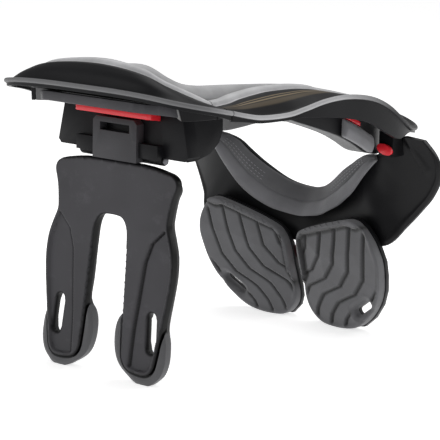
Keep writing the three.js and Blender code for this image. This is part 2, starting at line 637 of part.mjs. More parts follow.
function strutOutline(table) {
  const right = table.map(([x, z]) => [x * STRUT_HALF, z * STRUT_TOP]);
  return right.concat(right.slice().reverse().map(([x, z]) => [-x, z]));
}

const strutSlots = (grow) => [1, -1].map((side) => slotOutline(STRUT_SLOT, grow).map(([x, z]) => [side * x, z]));

function strutPlate() {
  return slab(strutOutline(STRUT_OUTLINE), strutSlots(0),
    (x, z, side) => vector(x, strutFace(z) + side * STRUT_THICK, z));
}

// The foam's back face is smaller than its front face, and the plate sits in it as in a tray.
function strutPad() {
  const outline = strutOutline(FOAM_OUTLINE);
  const back = inset(outline, FOAM_TAPER);
  const place = (x, z, side) => {
    const k = outline.findIndex(([u, v]) => Math.abs(u - x) < 1e-6 && Math.abs(v - z) < 1e-6);
    const [u, v] = side && k >= 0 ? back[k] : [x, z];
    return vector(u, strutFace(v) + (side ? STRUT_THICK + FIT + FOAM_THICK : FOAM_LIP), v);
  };
  const foot = (x, z, side) => {
    const p = place(x, z, side);
    return z < 1 ? p.setZ(0) : p;
  };
  const foam = slab(outline, [], foot);
  const seat = slab(offsetOutline(strutOutline(STRUT_OUTLINE), FIT), [],
    (x, z, side) => vector(x, strutFace(z) + (side ? STRUT_THICK + FIT : -FIT), z));
  const slots = strutSlots(FIT).map((slot) => slab(slot, [], (x, z, side) => vector(x, side * THROUGH, z)));
  return cut(foam, seat, ...slots);
}

// Lower front frame: a moulded sheet between its top edge and its outer edge
const frameRows = smoothRows(mirrorRows(FRAME_STATIONS, ['tx', 'ox']), 2);
const ACROSS = [0, 0.25, 0.5, 0.75, 1];

function frameSheet(front, back, margin = 0) {
  const shares = ACROSS.map((f) => f + margin * Math.sign(f - 0.5));
  const rings = frameRows.map((row) => {
    const line = shares.map((f) => {
      const mix = (a, b) => a + (b - a) * f;
      return vector(
        mix(row.tx, row.ox) * FRONT_HALF,
        mix(row.ty, row.oy) * COLLAR_DEPTH,
        mix(row.tz, row.oz) * CREST_HEIGHT,
      );
    });
    const near = line.map((p) => p.clone().setY(p.y + front));
    const far = line.map((p) => p.clone().setY(p.y + back));
    return near.concat(far.reverse());
  });
  const flat = ACROSS.map((f) => new THREE.Vector2(f, 0)).concat(ACROSS.map((f) => new THREE.Vector2(f, 1)).reverse());
  return loft(rings, [flat, flat]);
}

function lowerFrame() {
  const blocks = [1, -1].map((side) => {
    const [x0, x1] = [side * BLOCK.x0, side * BLOCK.x1].sort((a, b) => a - b);
    return boxBetween(x0, x1, BLOCK.y0, BLOCK.y1, BLOCK.z0, BLOCK.z1);
  });
  return join(frameSheet(0, SHEET), ...blocks);
}

// The sheet with its clearance, thick enough to trim what seats on it
const frameCutter = () => frameSheet(-FIT, CUT_DEPTH, CUT_MARGIN);

// Neck lining along the top edge of the lower frame
function neckLining() {
  const rows = smoothRows(mirrorRows(LINING_STATIONS, ['tx', 'lx']), 2);
  const rings = rows.map((row) => {
    const top = vector(row.tx * FRONT_HALF, row.ty * COLLAR_DEPTH, row.tz * CREST_HEIGHT);
    const low = vector(row.lx * FRONT_HALF, row.ly * COLLAR_DEPTH, row.lz * CREST_HEIGHT);
    const face = [0.06, 0.3, 0.62, 0.9].map((f) => top.clone().lerp(low, f));
    face[0].y -= 0.4;
    face[1].y -= 1.6;
    face[2].y -= 1.6;
    const back = [low, top].map((p) => p.clone().setY(p.y + LINING_REACH));
    return [top, ...face, low.clone().setY(low.y + 1.5), ...back];
  });
  const flat = [[0, 0], [0.06, -0.1], [0.3, -0.3], [0.62, -0.3], [0.9, -0.1], [1, 0.2], [1, 3], [0, 3]];
  const ends = flat.map(([u, v]) => new THREE.Vector2(u, v));
  return cut(loft(rings, [ends, ends]), frameCutter());
}

// Chest plates and pads
const chestFace = (x, z) => CHEST_FACE_Y + CHEST_LEAN * z + CHEST_WRAP * Math.abs(x);

function chestOutline(side, grow, lift) {
  const cx = 0.52;
  const cz = 0.5;
  return CHEST_OUTLINE.map(([x, z]) => {
    const length = Math.hypot(x - cx, z - cz);
    const px = x * CHEST_WIDTH + (grow * (x - cx)) / length;
    const pz = Math.max(z * CHEST_HEIGHT + (grow * (z - cz)) / length, lift);
    return [side * px, pz];
  });
}

function chestSlab(side, grow, lift, from, thick) {
  const slot = slotOutline(CHEST_SLOT).map(([x, z]) => [side * x, z]);
  return slab(chestOutline(side, grow, lift), [slot],
    (x, z, face) => vector(x, chestFace(x, z) + from + face * thick, z));
}

function chestPlate(side) {
  const plate = chestSlab(side, PLATE_MARGIN, PLATE_LIFT, CHEST_PAD_THICK + FIT, CHEST_PLATE_THICK);
  const [x0, x1] = [side * BOSS.x0, side * BOSS.x1].sort((a, b) => a - b);
  const from = chestFace(BOSS.x0, BOSS.z0) + CHEST_PAD_THICK + 2;
  const boss = boxBetween(x0, x1, from, from + BOSS.reach, BOSS.z0, BOSS.z1);
  return cut(join(plate, boss), frameCutter());
}

// Red retaining pins at the shoulders of the lower frame
function redPin(side) {
  const geometry = new THREE.CylinderGeometry(1, 1, 2.4, 16);
  geometry.scale(7.4, 1, 4.2);
  geometry.rotateY(side * 0.25);
  geometry.translate(side * (BLOCK.x0 + BLOCK.x1 + 1) / 2, BLOCK.y0 - FIT - 1.2 - CENTRE_Y, (BLOCK.z0 + 6));
  return geometry;
}

// Shoulder pads on the inner wall of the front deck, over the collar bones
function shoulderPad(side) {
  const rows = frontRows.filter((row) => row.bx * side > 0 && row.by > 0.62 && row.by < 0.78);
  return ringBody(rows, (row) => {
    const frame = stationFrame(row, SPLIT_GAP);
    const foot = frame.crest.z - row.drop * WALL_DROP;
    const h = frame.width + CREST_LAND - SHELL - FIT;
    return {
      frame,
      points: [[h, foot], [h, foot + 14], [h - 3, foot + 14], [h - 6, foot + 12], [h - 7, foot + 6], [h - 5, foot]],
    };
  });
}

// Red strip on top of each shoulder pad
function redStrip(side) {
  const rows = frontRows.filter((row) => row.bx * side > 0 && row.by > 0.63 && row.by < 0.72);
  return ringBody(rows, (row) => {
    const frame = stationFrame(row, SPLIT_GAP);
    const foot = frame.crest.z - row.drop * WALL_DROP + 14 + FIT;
    const h = frame.width + CREST_LAND - SHELL - FIT;
    return { frame, points: [[h, foot], [h, foot + 3.4], [h - 4, foot + 3.4], [h - 4, foot]] };
  });
}

// Red link behind the two chest plates
function sternumLink() {
  const { half, z0, z1, thick } = LINK;
  const back = CHEST_PAD_THICK + CHEST_PLATE_THICK + 2 * FIT;
  const outline = [[-half, z0], [half, z0], [half, z1], [-half, z1]];
  return slab(outline, [], (x, z, side) => vector(x, chestFace(0, z) + back + side * thick, z));
}

// Assembly
const brace = new THREE.Group();

function add(name, geometry, finish) {
  const mesh = new THREE.Mesh(geometry, MATERIALS[finish]);
  mesh.name = name;
  brace.add(mesh);
}

add('rear_deck', rearDeck(), 'black');
add('rear_deck_pad', cut(ringBody(rearRows, rearPad), basePlate(2 * FIT)), 'foam');
add('rear_base_plate', basePlate(), 'charcoal');
add('lock_plate', lockPlate(), 'red');
add('rear_frame', rearFrame(), 'black');
add('strut_pin', strutPin(), 'steel');
add('shoulder_pin', shoulderPin(), 'steel');
add('strut_clip', strutClip(), 'black');
add('strut_plate', strutPlate(), 'charcoal');
add('strut_pad', strutPad(), 'darkFoam');
add('front_deck', frontDeck(), 'black');
add('front_deck_pad', ringBody(frontRows, frontPad), 'foam');
add('lower_front_frame', lowerFrame(), 'black');
add('neck_lining', neckLining(), 'foam');
[['right', 1], ['left', -1]].forEach(([word, side]) => {
  add(`${word}_chest_plate`, chestPlate(side), 'black');
  add(`${word}_chest_pad`, chestSlab(side, 0, 0, 0, CHEST_PAD_THICK), 'foam');
  add(`${word}_shoulder_pad`, shoulderPad(side), 'foam');
  add(`${word}_red_pin`, redPin(side), 'red');
  add(`${word}_red_strip`, redStrip(side), 'red');
});
add('sternum_link', sternumLink(), 'red');

export default brace;
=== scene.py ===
"""Dresses a packed motocross neck brace: moulded decks, foam pads, forked strut and chest pads.

Sizes are millimetres in the standing frame, where Z is up from the floor and Y runs from the rear lip
to the front, and the tables hold shares of them. Every mesh is made in metres in the part's frame.
"""

import math

import bmesh
import bpy
import numpy as np
from bpy.props import FloatProperty, FloatVectorProperty, IntProperty, PointerProperty
from mathutils import Matrix, Vector
from mathutils.geometry import delaunay_2d_cdt


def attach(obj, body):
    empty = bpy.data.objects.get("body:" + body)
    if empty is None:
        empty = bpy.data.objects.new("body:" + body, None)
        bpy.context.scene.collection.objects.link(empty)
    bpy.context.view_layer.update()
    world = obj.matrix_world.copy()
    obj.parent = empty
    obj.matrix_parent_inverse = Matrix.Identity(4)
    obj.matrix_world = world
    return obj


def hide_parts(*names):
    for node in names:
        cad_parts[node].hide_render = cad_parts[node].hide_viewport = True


bl_info = {
    "name": "Motocross neck brace",
    "version": (1, 0, 0),
    "blender": (4, 5, 0),
    "location": "View3D > Sidebar > Brace",
    "description": "Builds the looks of a neck brace round its packed solids",
    "category": "Object",
}

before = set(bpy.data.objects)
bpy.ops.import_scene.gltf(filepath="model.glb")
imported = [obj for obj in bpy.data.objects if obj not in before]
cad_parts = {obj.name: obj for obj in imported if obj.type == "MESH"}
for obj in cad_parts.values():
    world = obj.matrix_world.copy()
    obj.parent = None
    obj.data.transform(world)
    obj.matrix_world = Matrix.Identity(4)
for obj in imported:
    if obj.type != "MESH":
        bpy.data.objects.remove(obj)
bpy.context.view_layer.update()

# Metres in a millimetre
MM = 0.001

# Sizes of the collar, in millimetres
RING_HALF = 100.0
COLLAR_DEPTH = 290.0
CREST_HEIGHT = 230.0
CENTRE_Y = 146.0
FRONT_HALF = 128.0
SHELL = 3.0
BEAD = 2.0
CREST_LAND = 4.0
WALL_DROP = 40.0
SKIRT_DROP = 20.0
PAD_WIDTH = 21.0
PAD_CROWN = 3.0
SPLIT_Y = 0.1845 * COLLAR_DEPTH
SPLIT_GAP = 1.0
FIT = 0.3

# How much painted shade darkens the ring pads' foam toward the neck, and at its foot
INNER_SHADOW = 0.6
FOOT_SHADOW = 0.8

# Base plate under the rear deck
BASE_HEIGHT = 0.898 * CREST_HEIGHT
BASE_REAR_Y = 9.0
BASE_SLOPE = -0.15
BASE_THICK = 7.0
BASE_HALF = 56.0
BASE_OVERHANG = 18.0
FRAME_REAR_Y = 46.0

# Strut and its foam
STRUT_HALF = 63.0
STRUT_TOP = 0.7065 * CREST_HEIGHT - 5.2
STRUT_FACE_Y = 22.8
STRUT_LEAN = 0.11
STRUT_THICK = 5.5
FOAM_THICK = 6.0
STRUT_SLOT = {"x": 46.5, "z": 38.0, "length": 30.0, "width": 8.0, "turn": 94.0}

# Chest pads
CHEST_WIDTH = 0.715 * FRONT_HALF
CHEST_HEIGHT = 0.4217 * CREST_HEIGHT
CHEST_FACE_Y = 0.9224 * COLLAR_DEPTH
CHEST_LEAN = -0.33
CHEST_WRAP = -0.07
CHEST_PAD_THICK = 9.0
CHEST_SLOT = {"x": 0.72 * CHEST_WIDTH, "z": 0.227 * CHEST_HEIGHT, "length": 22.0, "width": 6.5, "turn": 35.0}

# Camera at the photograph's viewing angle
CAMERA_AT = Vector((1.02424, -1.20280, 0.40494))
CAMERA_RIGHT = Vector((0.7615, 0.6477, 0.0230))
CAMERA_UP = Vector((-0.1403, 0.1301, 0.9815))
CAMERA_LENS = 171.82

# Ring stations from the rear centre to the shoulder: bead and crest as shares of RING_HALF,
# COLLAR_DEPTH and CREST_HEIGHT, then the skirt as a share of SKIRT_DROP.
# The last column is the inner wall's drop as a share of WALL_DROP.
REAR_STATIONS = (
    (0.000, 0.007, 0.930, 0.000, 0.052, 0.998, 0.20, 0.0),
    (0.330, 0.009, 0.929, 0.270, 0.051, 0.993, 0.20, 0.0),
    (0.600, 0.014, 0.924, 0.510, 0.052, 0.978, 0.20, 0.0),
    (0.800, 0.030, 0.914, 0.670, 0.066, 0.952, 0.20, 0.0),
    (0.910, 0.072, 0.901, 0.775, 0.107, 0.922, 0.20, 0.0),
    (0.955, 0.134, 0.885, 0.820, 0.155, 0.898, 0.20, 0.0),
    (0.970, 0.183, 0.872, 0.835, 0.188, 0.885, 0.25, 0.0),
)

# Ring stations from the shoulder to the front centre, with the inner wall's drop as a share of
# WALL_DROP.
FRONT_STATIONS = (
    (0.970, 0.183, 0.872, 0.835, 0.188, 0.885, 0.30, 0.23),
    (0.995, 0.228, 0.859, 0.845, 0.233, 0.890, 0.22, 0.23),
    (1.025, 0.276, 0.850, 0.850, 0.276, 0.900, 0.20, 0.25),
    (1.060, 0.359, 0.851, 0.860, 0.355, 0.911, 0.20, 0.32),
    (1.100, 0.407, 0.865, 0.880, 0.407, 0.914, 0.30, 0.46),
    (1.140, 0.476, 0.885, 0.910, 0.476, 0.913, 0.60, 0.62),
    (1.170, 0.552, 0.891, 0.930, 0.552, 0.898, 0.80, 0.70),
    (1.200, 0.634, 0.878, 0.940, 0.634, 0.850, 0.90, 0.62),
    (1.210, 0.703, 0.846, 0.940, 0.700, 0.820, 1.00, 0.65),
    (1.200, 0.766, 0.800, 0.920, 0.762, 0.807, 0.80, 0.78),
    (1.160, 0.828, 0.759, 0.880, 0.828, 0.804, 0.20, 0.85),
    (1.075, 0.897, 0.746, 0.800, 0.879, 0.805, 0.20, 0.80),
    (0.930, 0.945, 0.750, 0.680, 0.908, 0.809, 0.25, 0.73),
    (0.720, 0.977, 0.762, 0.520, 0.920, 0.816, 0.30, 0.68),
    (0.400, 0.995, 0.776, 0.280, 0.920, 0.825, 0.30, 0.66),
    (0.000, 1.000, 0.782, 0.000, 0.917, 0.830, 0.30, 0.66),
)

# Lower front frame from the sternum to the shoulder: top edge, then outer edge.
FRAME_STATIONS = (
    (0.000, 0.941, 0.476, 0.000, 0.903, 0.287),
    (0.156, 0.924, 0.494, 0.200, 0.898, 0.294),
    (0.297, 0.895, 0.546, 0.450, 0.886, 0.312),
    (0.398, 0.881, 0.588, 0.715, 0.862, 0.339),
    (0.484, 0.874, 0.622, 0.810, 0.892, 0.404),
    (0.562, 0.862, 0.640, 0.886, 0.910, 0.461),
    (0.645, 0.857, 0.650, 0.953, 0.921, 0.517),
    (0.719, 0.859, 0.687, 1.000, 0.922, 0.587),
    (0.766, 0.862, 0.709, 0.984, 0.909, 0.652),
    (0.820, 0.862, 0.720, 0.930, 0.883, 0.709),
)
FRAME_SHEET = 4.5

# Neck lining from the centre to its upper end: top edge of its face, then bottom edge.
LINING_STATIONS = (
    (0.000, 0.930, 0.478, 0.000, 0.880, 0.384),
    (0.123, 0.918, 0.491, 0.120, 0.864, 0.395),
    (0.188, 0.907, 0.507, 0.200, 0.860, 0.404),
    (0.247, 0.894, 0.527, 0.284, 0.848, 0.427),
    (0.305, 0.881, 0.550, 0.357, 0.844, 0.449),
    (0.355, 0.872, 0.571, 0.422, 0.839, 0.477),
    (0.398, 0.868, 0.588, 0.476, 0.838, 0.505),
    (0.439, 0.867, 0.604, 0.523, 0.834, 0.536),
    (0.481, 0.865, 0.621, 0.568, 0.831, 0.568),
    (0.560, 0.853, 0.642, 0.625, 0.832, 0.606),
    (0.625, 0.850, 0.647, 0.660, 0.838, 0.630),
)

# Half outline of the strut plate: shares of STRUT_HALF and STRUT_TOP.
STRUT_OUTLINE = (
    (0.400, 0.996), (0.780, 0.978), (0.900, 0.962), (0.950, 0.940), (0.955, 0.910), (0.905, 0.850),
    (0.870, 0.765), (0.875, 0.725), (0.930, 0.670), (0.985, 0.600), (1.000, 0.510), (0.976, 0.413),
    (0.937, 0.318), (0.895, 0.222), (0.857, 0.130), (0.820, 0.078), (0.730, 0.048), (0.570, 0.046),
    (0.430, 0.060), (0.345, 0.100), (0.318, 0.165), (0.298, 0.292), (0.283, 0.420), (0.270, 0.547),
    (0.255, 0.660), (0.225, 0.708), (0.165, 0.738), (0.080, 0.747),
)

# Half outline of the strut foam: shares of STRUT_HALF and STRUT_TOP.
FOAM_OUTLINE = (
    (0.400, 0.950), (0.780, 0.945), (0.880, 0.935), (0.925, 0.910), (0.925, 0.885), (0.890, 0.850),
    (0.860, 0.765), (0.865, 0.725), (0.915, 0.670), (0.970, 0.600), (0.985, 0.510), (0.962, 0.413),
    (0.930, 0.318), (0.925, 0.262), (0.965, 0.205), (0.975, 0.120), (0.930, 0.060), (0.850, 0.025),
    (0.750, 0.000), (0.570, 0.000), (0.420, 0.030), (0.300, 0.062), (0.220, 0.105), (0.180, 0.165),
    (0.180, 0.235), (0.225, 0.285), (0.315, 0.330), (0.300, 0.420), (0.287, 0.547), (0.275, 0.665),
    (0.235, 0.720), (0.165, 0.755), (0.080, 0.765),
)

# The step between a leg's raised inner face and its recessed outer panel: shares as above.
LEG_STEP = (
    (1.050, 0.775), (0.815, 0.715), (0.640, 0.650), (0.560, 0.560), (0.515, 0.390), (0.475, 0.250),
    (0.455, 0.080), (0.450, -0.05),
)

# Outline of the right chest pad: shares of CHEST_WIDTH and CHEST_HEIGHT.
CHEST_OUTLINE = (
    (0.092, 0.765), (0.160, 0.830), (0.400, 0.915), (0.680, 0.990), (0.790, 0.995), (0.865, 0.950),
    (0.930, 0.865), (0.970, 0.775), (0.996, 0.670), (0.985, 0.545), (0.955, 0.415), (0.890, 0.285),
    (0.780, 0.155), (0.640, 0.050), (0.500, 0.008), (0.330, 0.000), (0.200, 0.025), (0.100, 0.115),
    (0.060, 0.200), (0.052, 0.290), (0.060, 0.480), (0.062, 0.660),
)

# Run of one chest rib from its foot up: its sideways shift as a share of CHEST_WIDTH at heights that
# are shares of CHEST_HEIGHT. Ribs nearer the breastbone kink higher by RIB_CLIMB.
RIB_HEIGHTS = (0.00, 0.10, 0.22, 0.38, 0.56, 0.80, 1.00)
RIB_SHIFTS = (-0.02, 0.02, 0.12, 0.33, 0.45, 0.50, 0.53)
RIB_CLIMB = 0.30
RIB_PITCH = 0.162 * CHEST_WIDTH
RIB_START = 0.075 * CHEST_WIDTH
RIB_SLOPE = 1.4
RIB_GROOVE = 2.8
RIB_EDGE = 0.13

# Ridge on each wing of the front frame: where it starts and ends, as a place between the frame's
# stations and a share of the way from the top edge to the outer edge.
RIDGE_START = (8.7, 0.18)
RIDGE_END = (6.9, 0.80)
RIDGE_HEIGHT = 1.5
RIDGE_HALF = 2.6


def sizes():
    """The scene's size settings."""
    return bpy.context.scene.brace_sizes


def colours():
    """The scene's colour settings."""
    return bpy.context.scene.brace_colours


# Geometry helpers
def place(points):
    """Standing-frame millimetres to metres in the part's frame."""
    out = np.array(points, float)
    out[..., 1] -= CENTRE_Y
    return out * MM


def smooth_rows(rows, steps):
    """Rows between the given ones, on a Catmull-Rom curve through each column."""
    rows = np.array(rows, float)
    last = len(rows) - 1
    out = []
    for i in range(last):
        a, b = rows[max(i - 1, 0)], rows[i]
        c, d = rows[i + 1], rows[min(i + 2, last)]
        for s in range(steps):
            t = s / steps
            out.append(b + 0.5 * t * (c - a + t * (2 * a - 5 * b + 4 * c - d + t * (3 * (b - c) + d - a))))
    out.append(rows[last])
    return np.array(out)


def mirror_rows(rows, x_columns):
    """The right half's rows with their mirrored twins in front."""
    rows = np.array(rows, float)
    left = rows[:0:-1].copy()
    left[:, x_columns] *= -1
    return np.vstack([left, rows])


def rounded(points, radii, steps=4):
    """A closed section with each corner cut to a curve of the given reach."""
    points = np.array(points, float)
    count = len(points)
    out = []
    for i in range(count):
        here, before, after = points[i], points[i - 1], points[(i + 1) % count]
        back, ahead = before - here, after - here
        back_length, ahead_length = np.linalg.norm(back), np.linalg.norm(ahead)
        reach = min(radii[i], 0.45 * back_length, 0.45 * ahead_length)
        start = here + back * (reach / max(back_length, 1e-9))
        end = here + ahead * (reach / max(ahead_length, 1e-9))
        for k in range(steps + 1):
            s = k / steps
            out.append((1 - s) ** 2 * start + 2 * s * (1 - s) * here + s * s * end)
    return np.array(out)


def smooth_outline(points, steps):
    """A closed curve through the points."""
    points = np.array(points, float)
    wrapped = np.vstack([points[-2:], points, points[:3]])
    curve = smooth_rows(wrapped, steps)
    return curve[2 * steps:(2 + len(points)) * steps]


def whole_outline(half, x_size, z_size):
    """The closed outline of a part that is alike on both sides."""
    right = np.array(half, float) * (x_size, z_size)
    left = right[::-1] * (-1, 1)
    return np.vstack([right, left])


def signed_area(loop):
    """Area of a closed loop, above zero if it runs anticlockwise."""
    x, y = loop[:, 0], loop[:, 1]
    return 0.5 * np.sum(x * np.roll(y, -1) - np.roll(x, -1) * y)


def offset_outline(loop, distance):
    """The outline moved outward, point by point."""
    before, after = np.roll(loop, 1, axis=0), np.roll(loop, -1, axis=0)
    run = after - before
    normal = np.stack([run[:, 1], -run[:, 0]], -1)
    normal /= np.maximum(np.linalg.norm(normal, axis=1, keepdims=True), 1e-9)
    return loop + normal * (distance * np.sign(signed_area(loop)))


def slot_outline(slot, grow=0.0, corners=8):
    """A slot with round ends."""
    turn = math.radians(slot["turn"])
    along = np.array([math.cos(turn), math.sin(turn)])
    reach = (slot["length"] - slot["width"]) / 2
    radius = slot["width"] / 2 + grow
    points = []
    for side in (1, -1):
        middle = np.array([slot["x"], slot["z"]]) + side * reach * along
        for k in range(corners + 1):
            angle = turn + (0 if side > 0 else math.pi) + math.pi * (k / corners - 0.5)
            points.append(middle + radius * np.array([math.cos(angle), math.sin(angle)]))
    return np.array(points)


def inside(points, loop):
    """Which points lie inside a closed loop."""
    x, y = points[:, 0][:, None], points[:, 1][:, None]
    ax, ay = loop[:, 0][None], loop[:, 1][None]
    bx, by = np.roll(loop[:, 0], -1)[None], np.roll(loop[:, 1], -1)[None]
    spans = (ay > y) != (by > y)
    crossing = ax + (y - ay) * (bx - ax) / np.where(by == ay, 1e-12, by - ay)
    return (np.sum(spans & (x < crossing), axis=1) % 2) == 1


def distance_to(points, loops):
    """Distance from each point to the nearest of the loops' edges."""
    best = np.full(len(points), 1e9)
    for loop in loops:
        nxt = np.roll(loop, -1, axis=0)
        for a, b in zip(loop, nxt):
            run = b - a
            t = np.clip(((points - a) @ run) / max(run @ run, 1e-12), 0, 1)
            best = np.minimum(best, np.linalg.norm(points - a - t[:, None] * run, axis=1))
    return best


def new_object(name, mesh):
    """An object for the mesh, linked to the scene."""
    piece = bpy.data.objects.new(name, mesh)
    bpy.context.scene.collection.objects.link(piece)
    return piece


def shade(piece, angle=32):
    """Smooth faces, with edges sharper than the angle kept crisp."""
    bm = bmesh.new()
    bm.from_mesh(piece.data)
    limit = math.radians(angle)
    for face in bm.faces:
        face.smooth = True
    for edge in bm.edges:
        edge.smooth = not (len(edge.link_faces) == 2 and edge.calc_face_angle(0) > limit)
    bm.to_mesh(piece.data)
    bm.free()


def loft(name, rings):
    """A closed body through rings of equal point count, with a UV map: along, then round."""
    rings = np.array(rings, float)
    count, size = rings.shape[:2]
    bm = bmesh.new()
    uv = bm.loops.layers.uv.new("UVMap")
    verts = [[bm.verts.new(p) for p in ring] for ring in rings]
    for i in range(count - 1):
        for k in range(size):
            n = (k + 1) % size
            face = bm.faces.new((verts[i][k], verts[i][n], verts[i + 1][n], verts[i + 1][k]))
            corners = ((i, k), (i, k + 1), (i + 1, k + 1), (i + 1, k))
            for corner, (row, column) in zip(face.loops, corners):
                corner[uv].uv = (row / (count - 1), column / size)
    bm.faces.new(verts[0])
    bm.faces.new(verts[-1][::-1])
    bmesh.ops.recalc_face_normals(bm, faces=bm.faces)
    mesh = bpy.data.meshes.new(name)
    bm.to_mesh(mesh)
    bm.free()
    return new_object(name, mesh)


def relief(name, outline, holes, spacing, edge, surface, creases=(), groove_and_painted_shade=None):
    """A slab whose two faces follow surface(points, rim, side), where rim is the distance to the edge.

    Creases are closed lines that the faces' edges follow. The last argument gives painted shade: how
    dark each point is painted, from (points, rim), kept in a float attribute that the materials darken by.
    """
    loops = [outline, *holes]
    low, high = outline.min(0), outline.max(0)
    xs = np.arange(low[0], high[0], spacing)
    zs = np.arange(low[1], high[1], spacing)
    grid = np.array([(x + (spacing / 2 if j % 2 else 0), z) for j, z in enumerate(zs) for x in xs])
    keep = inside(grid, outline)
    for hole in holes:
        keep &= ~inside(grid, hole)
    grid = grid[keep]
    grid = grid[distance_to(grid, loops) > edge + spacing * 0.4]
    bands = []
    for share in (0.12, 0.4, 1.0):
        for loop in loops:
            sign = -1 if loop is outline else 1
            band = offset_outline(loop, sign * edge * share)
            band = band[distance_to(band, loops) > edge * share * 0.8]
            bands.append(band)
    free = np.vstack([grid, *bands])
    edges, points = [], []
    for loop in [*loops, *creases]:
        start = len(points)
        points.extend(loop)
        edges += [(start + k, start + (k + 1) % len(loop)) for k in range(len(loop))]
    points = np.vstack([points, free])
    found = delaunay_2d_cdt([Vector(p) for p in points], edges, [], 1, 1e-4)
    flat = np.array([tuple(v) for v in found[0]])
    faces = [f for f in found[2] if len(f) == 3]
    middles = np.array([flat[list(f)].mean(0) for f in faces])
    wanted = inside(middles, outline)
    for hole in holes:
        wanted &= ~inside(middles, hole)
    faces = [f for f, w in zip(faces, wanted) if w]
    rim = distance_to(flat, loops)
    front, back = (place(surface(flat, rim, side)) for side in (0, 1))
    bm = bmesh.new()
    layer = bm.verts.layers.float.new("groove_and_painted_shade")
    depth = groove_and_painted_shade(flat, rim) if groove_and_painted_shade else np.zeros(len(flat))
    uv = bm.loops.layers.uv.new("UVMap")
    made = []
    for side in (front, back):
        made.append([bm.verts.new(p) for p in side])
        for vert, value in zip(made[-1], depth):
            vert[layer] = value
    for face in faces:
        for side, order in ((0, face), (1, face[::-1])):
            built = bm.faces.new([made[side][k] for k in order])
            for corner, k in zip(built.loops, order):
                corner[uv].uv = flat[k] * MM
    bm.verts.index_update()
    total = len(flat)
    border = [e for e in bm.edges if len(e.link_faces) == 1 and e.verts[0].index < total
              and e.verts[1].index < total]
    for e in border:
        a, b = e.verts[0].index, e.verts[1].index
        bm.faces.new((made[0][b], made[0][a], made[1][a], made[1][b]))
    bm.verts.ensure_lookup_table()
    loose = [v for v in bm.verts if not v.link_faces]
    bmesh.ops.delete(bm, geom=loose, context="VERTS")
    bmesh.ops.recalc_face_normals(bm, faces=bm.faces)
    mesh = bpy.data.meshes.new(name)
    bm.to_mesh(mesh)
    bm.free()
    return new_object(name, mesh)


def cad_copy(name, node, bevel=0.5, segments=2):
    """A merged copy of a CAD node with its flat faces joined and its edges rounded."""
    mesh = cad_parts[node].data.copy()
    mesh.name = name
    mesh.materials.clear()
    bm = bmesh.new()
    bm.from_mesh(mesh)
    bmesh.ops.remove_doubles(bm, verts=bm.verts, dist=1e-6)
    bmesh.ops.dissolve_limit(bm, angle_limit=math.radians(2), verts=bm.verts, edges=bm.edges)
    bm.to_mesh(mesh)
    bm.free()
    piece = new_object(name, mesh)
    if bevel > 0:
        edge = piece.modifiers.new("edges", "BEVEL")
        edge.width = bevel * MM
        edge.segments = segments
        edge.limit_method = "ANGLE"
        edge.angle_limit = math.radians(28)
        edge.use_clamp_overlap = True
        bake(piece)
    shade(piece, 30)
    return piece


def bake(piece):
    """Turns a piece's modifiers into plain mesh."""
    graph = bpy.context.evaluated_depsgraph_get()
    mesh = bpy.data.meshes.new_from_object(piece.evaluated_get(graph))
    piece.modifiers.clear()
    piece.data = mesh


def box_mesh(bm, low, high):
    """A box between two corners, in metres."""
    made = bmesh.ops.create_cube(bm, size=1.0)["verts"]
    low, high = Vector(low), Vector(high)
    for vert in made:
        vert.co = Vector(low[k] + (vert.co[k] + 0.5) * (high[k] - low[k]) for k in range(3))
    return made


def finish_piece(piece, body, material, nodes=()):
    """Gives a piece its material, its CAD body and the nodes that it stands for."""
    piece.data.materials.clear()
    for one in material if isinstance(material, (list, tuple)) else [material]:
        piece.data.materials.append(one)
    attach(piece, body)
    if nodes:
        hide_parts(*nodes)
    return piece


# Shader groups and materials
def group(name, inputs, outputs):
    """A shader node group with named float inputs and typed outputs."""
    tree = bpy.data.node_groups.new(name, "ShaderNodeTree")
    for label, default in inputs:
        kind = "NodeSocketVector" if default is None else "NodeSocketFloat"
        socket = tree.interface.new_socket(label, in_out="INPUT", socket_type=kind)
        if default is not None:
            socket.default_value = default
    for label in outputs:
        tree.interface.new_socket(label, in_out="OUTPUT", socket_type="NodeSocketFloat")
    return tree, tree.nodes.new("NodeGroupInput"), tree.nodes.new("NodeGroupOutput")


def math_node(tree, operation, first, second=None):
    """One step of arithmetic on sockets or numbers."""
    node = tree.nodes.new("ShaderNodeMath")
    node.operation = operation
    for socket, value in zip(node.inputs, (first, second)):
        if value is None:
            continue
        if isinstance(value, (int, float)):
            socket.default_value = value
        else:
            tree.links.new(value, socket)
    return node.outputs[0]


def noise_node(tree, vector, scale, detail=3.0, roughness=0.55):
    node = tree.nodes.new("ShaderNodeTexNoise")
    tree.links.new(vector, node.inputs["Vector"])
    if isinstance(scale, (int, float)):
        node.inputs["Scale"].default_value = scale
    else:
        tree.links.new(scale, node.inputs["Scale"])
    node.inputs["Detail"].default_value = detail
    node.inputs["Roughness"].default_value = roughness
    return node.outputs["Fac"]


def map_range(tree, value, low, high, to_low=0.0, to_high=1.0):
    node = tree.nodes.new("ShaderNodeMapRange")
    tree.links.new(value, node.inputs["Value"])
    for label, number in (("From Min", low), ("From Max", high), ("To Min", to_low), ("To Max", to_high)):
        node.inputs[label].default_value = number
    return node.outputs["Result"]


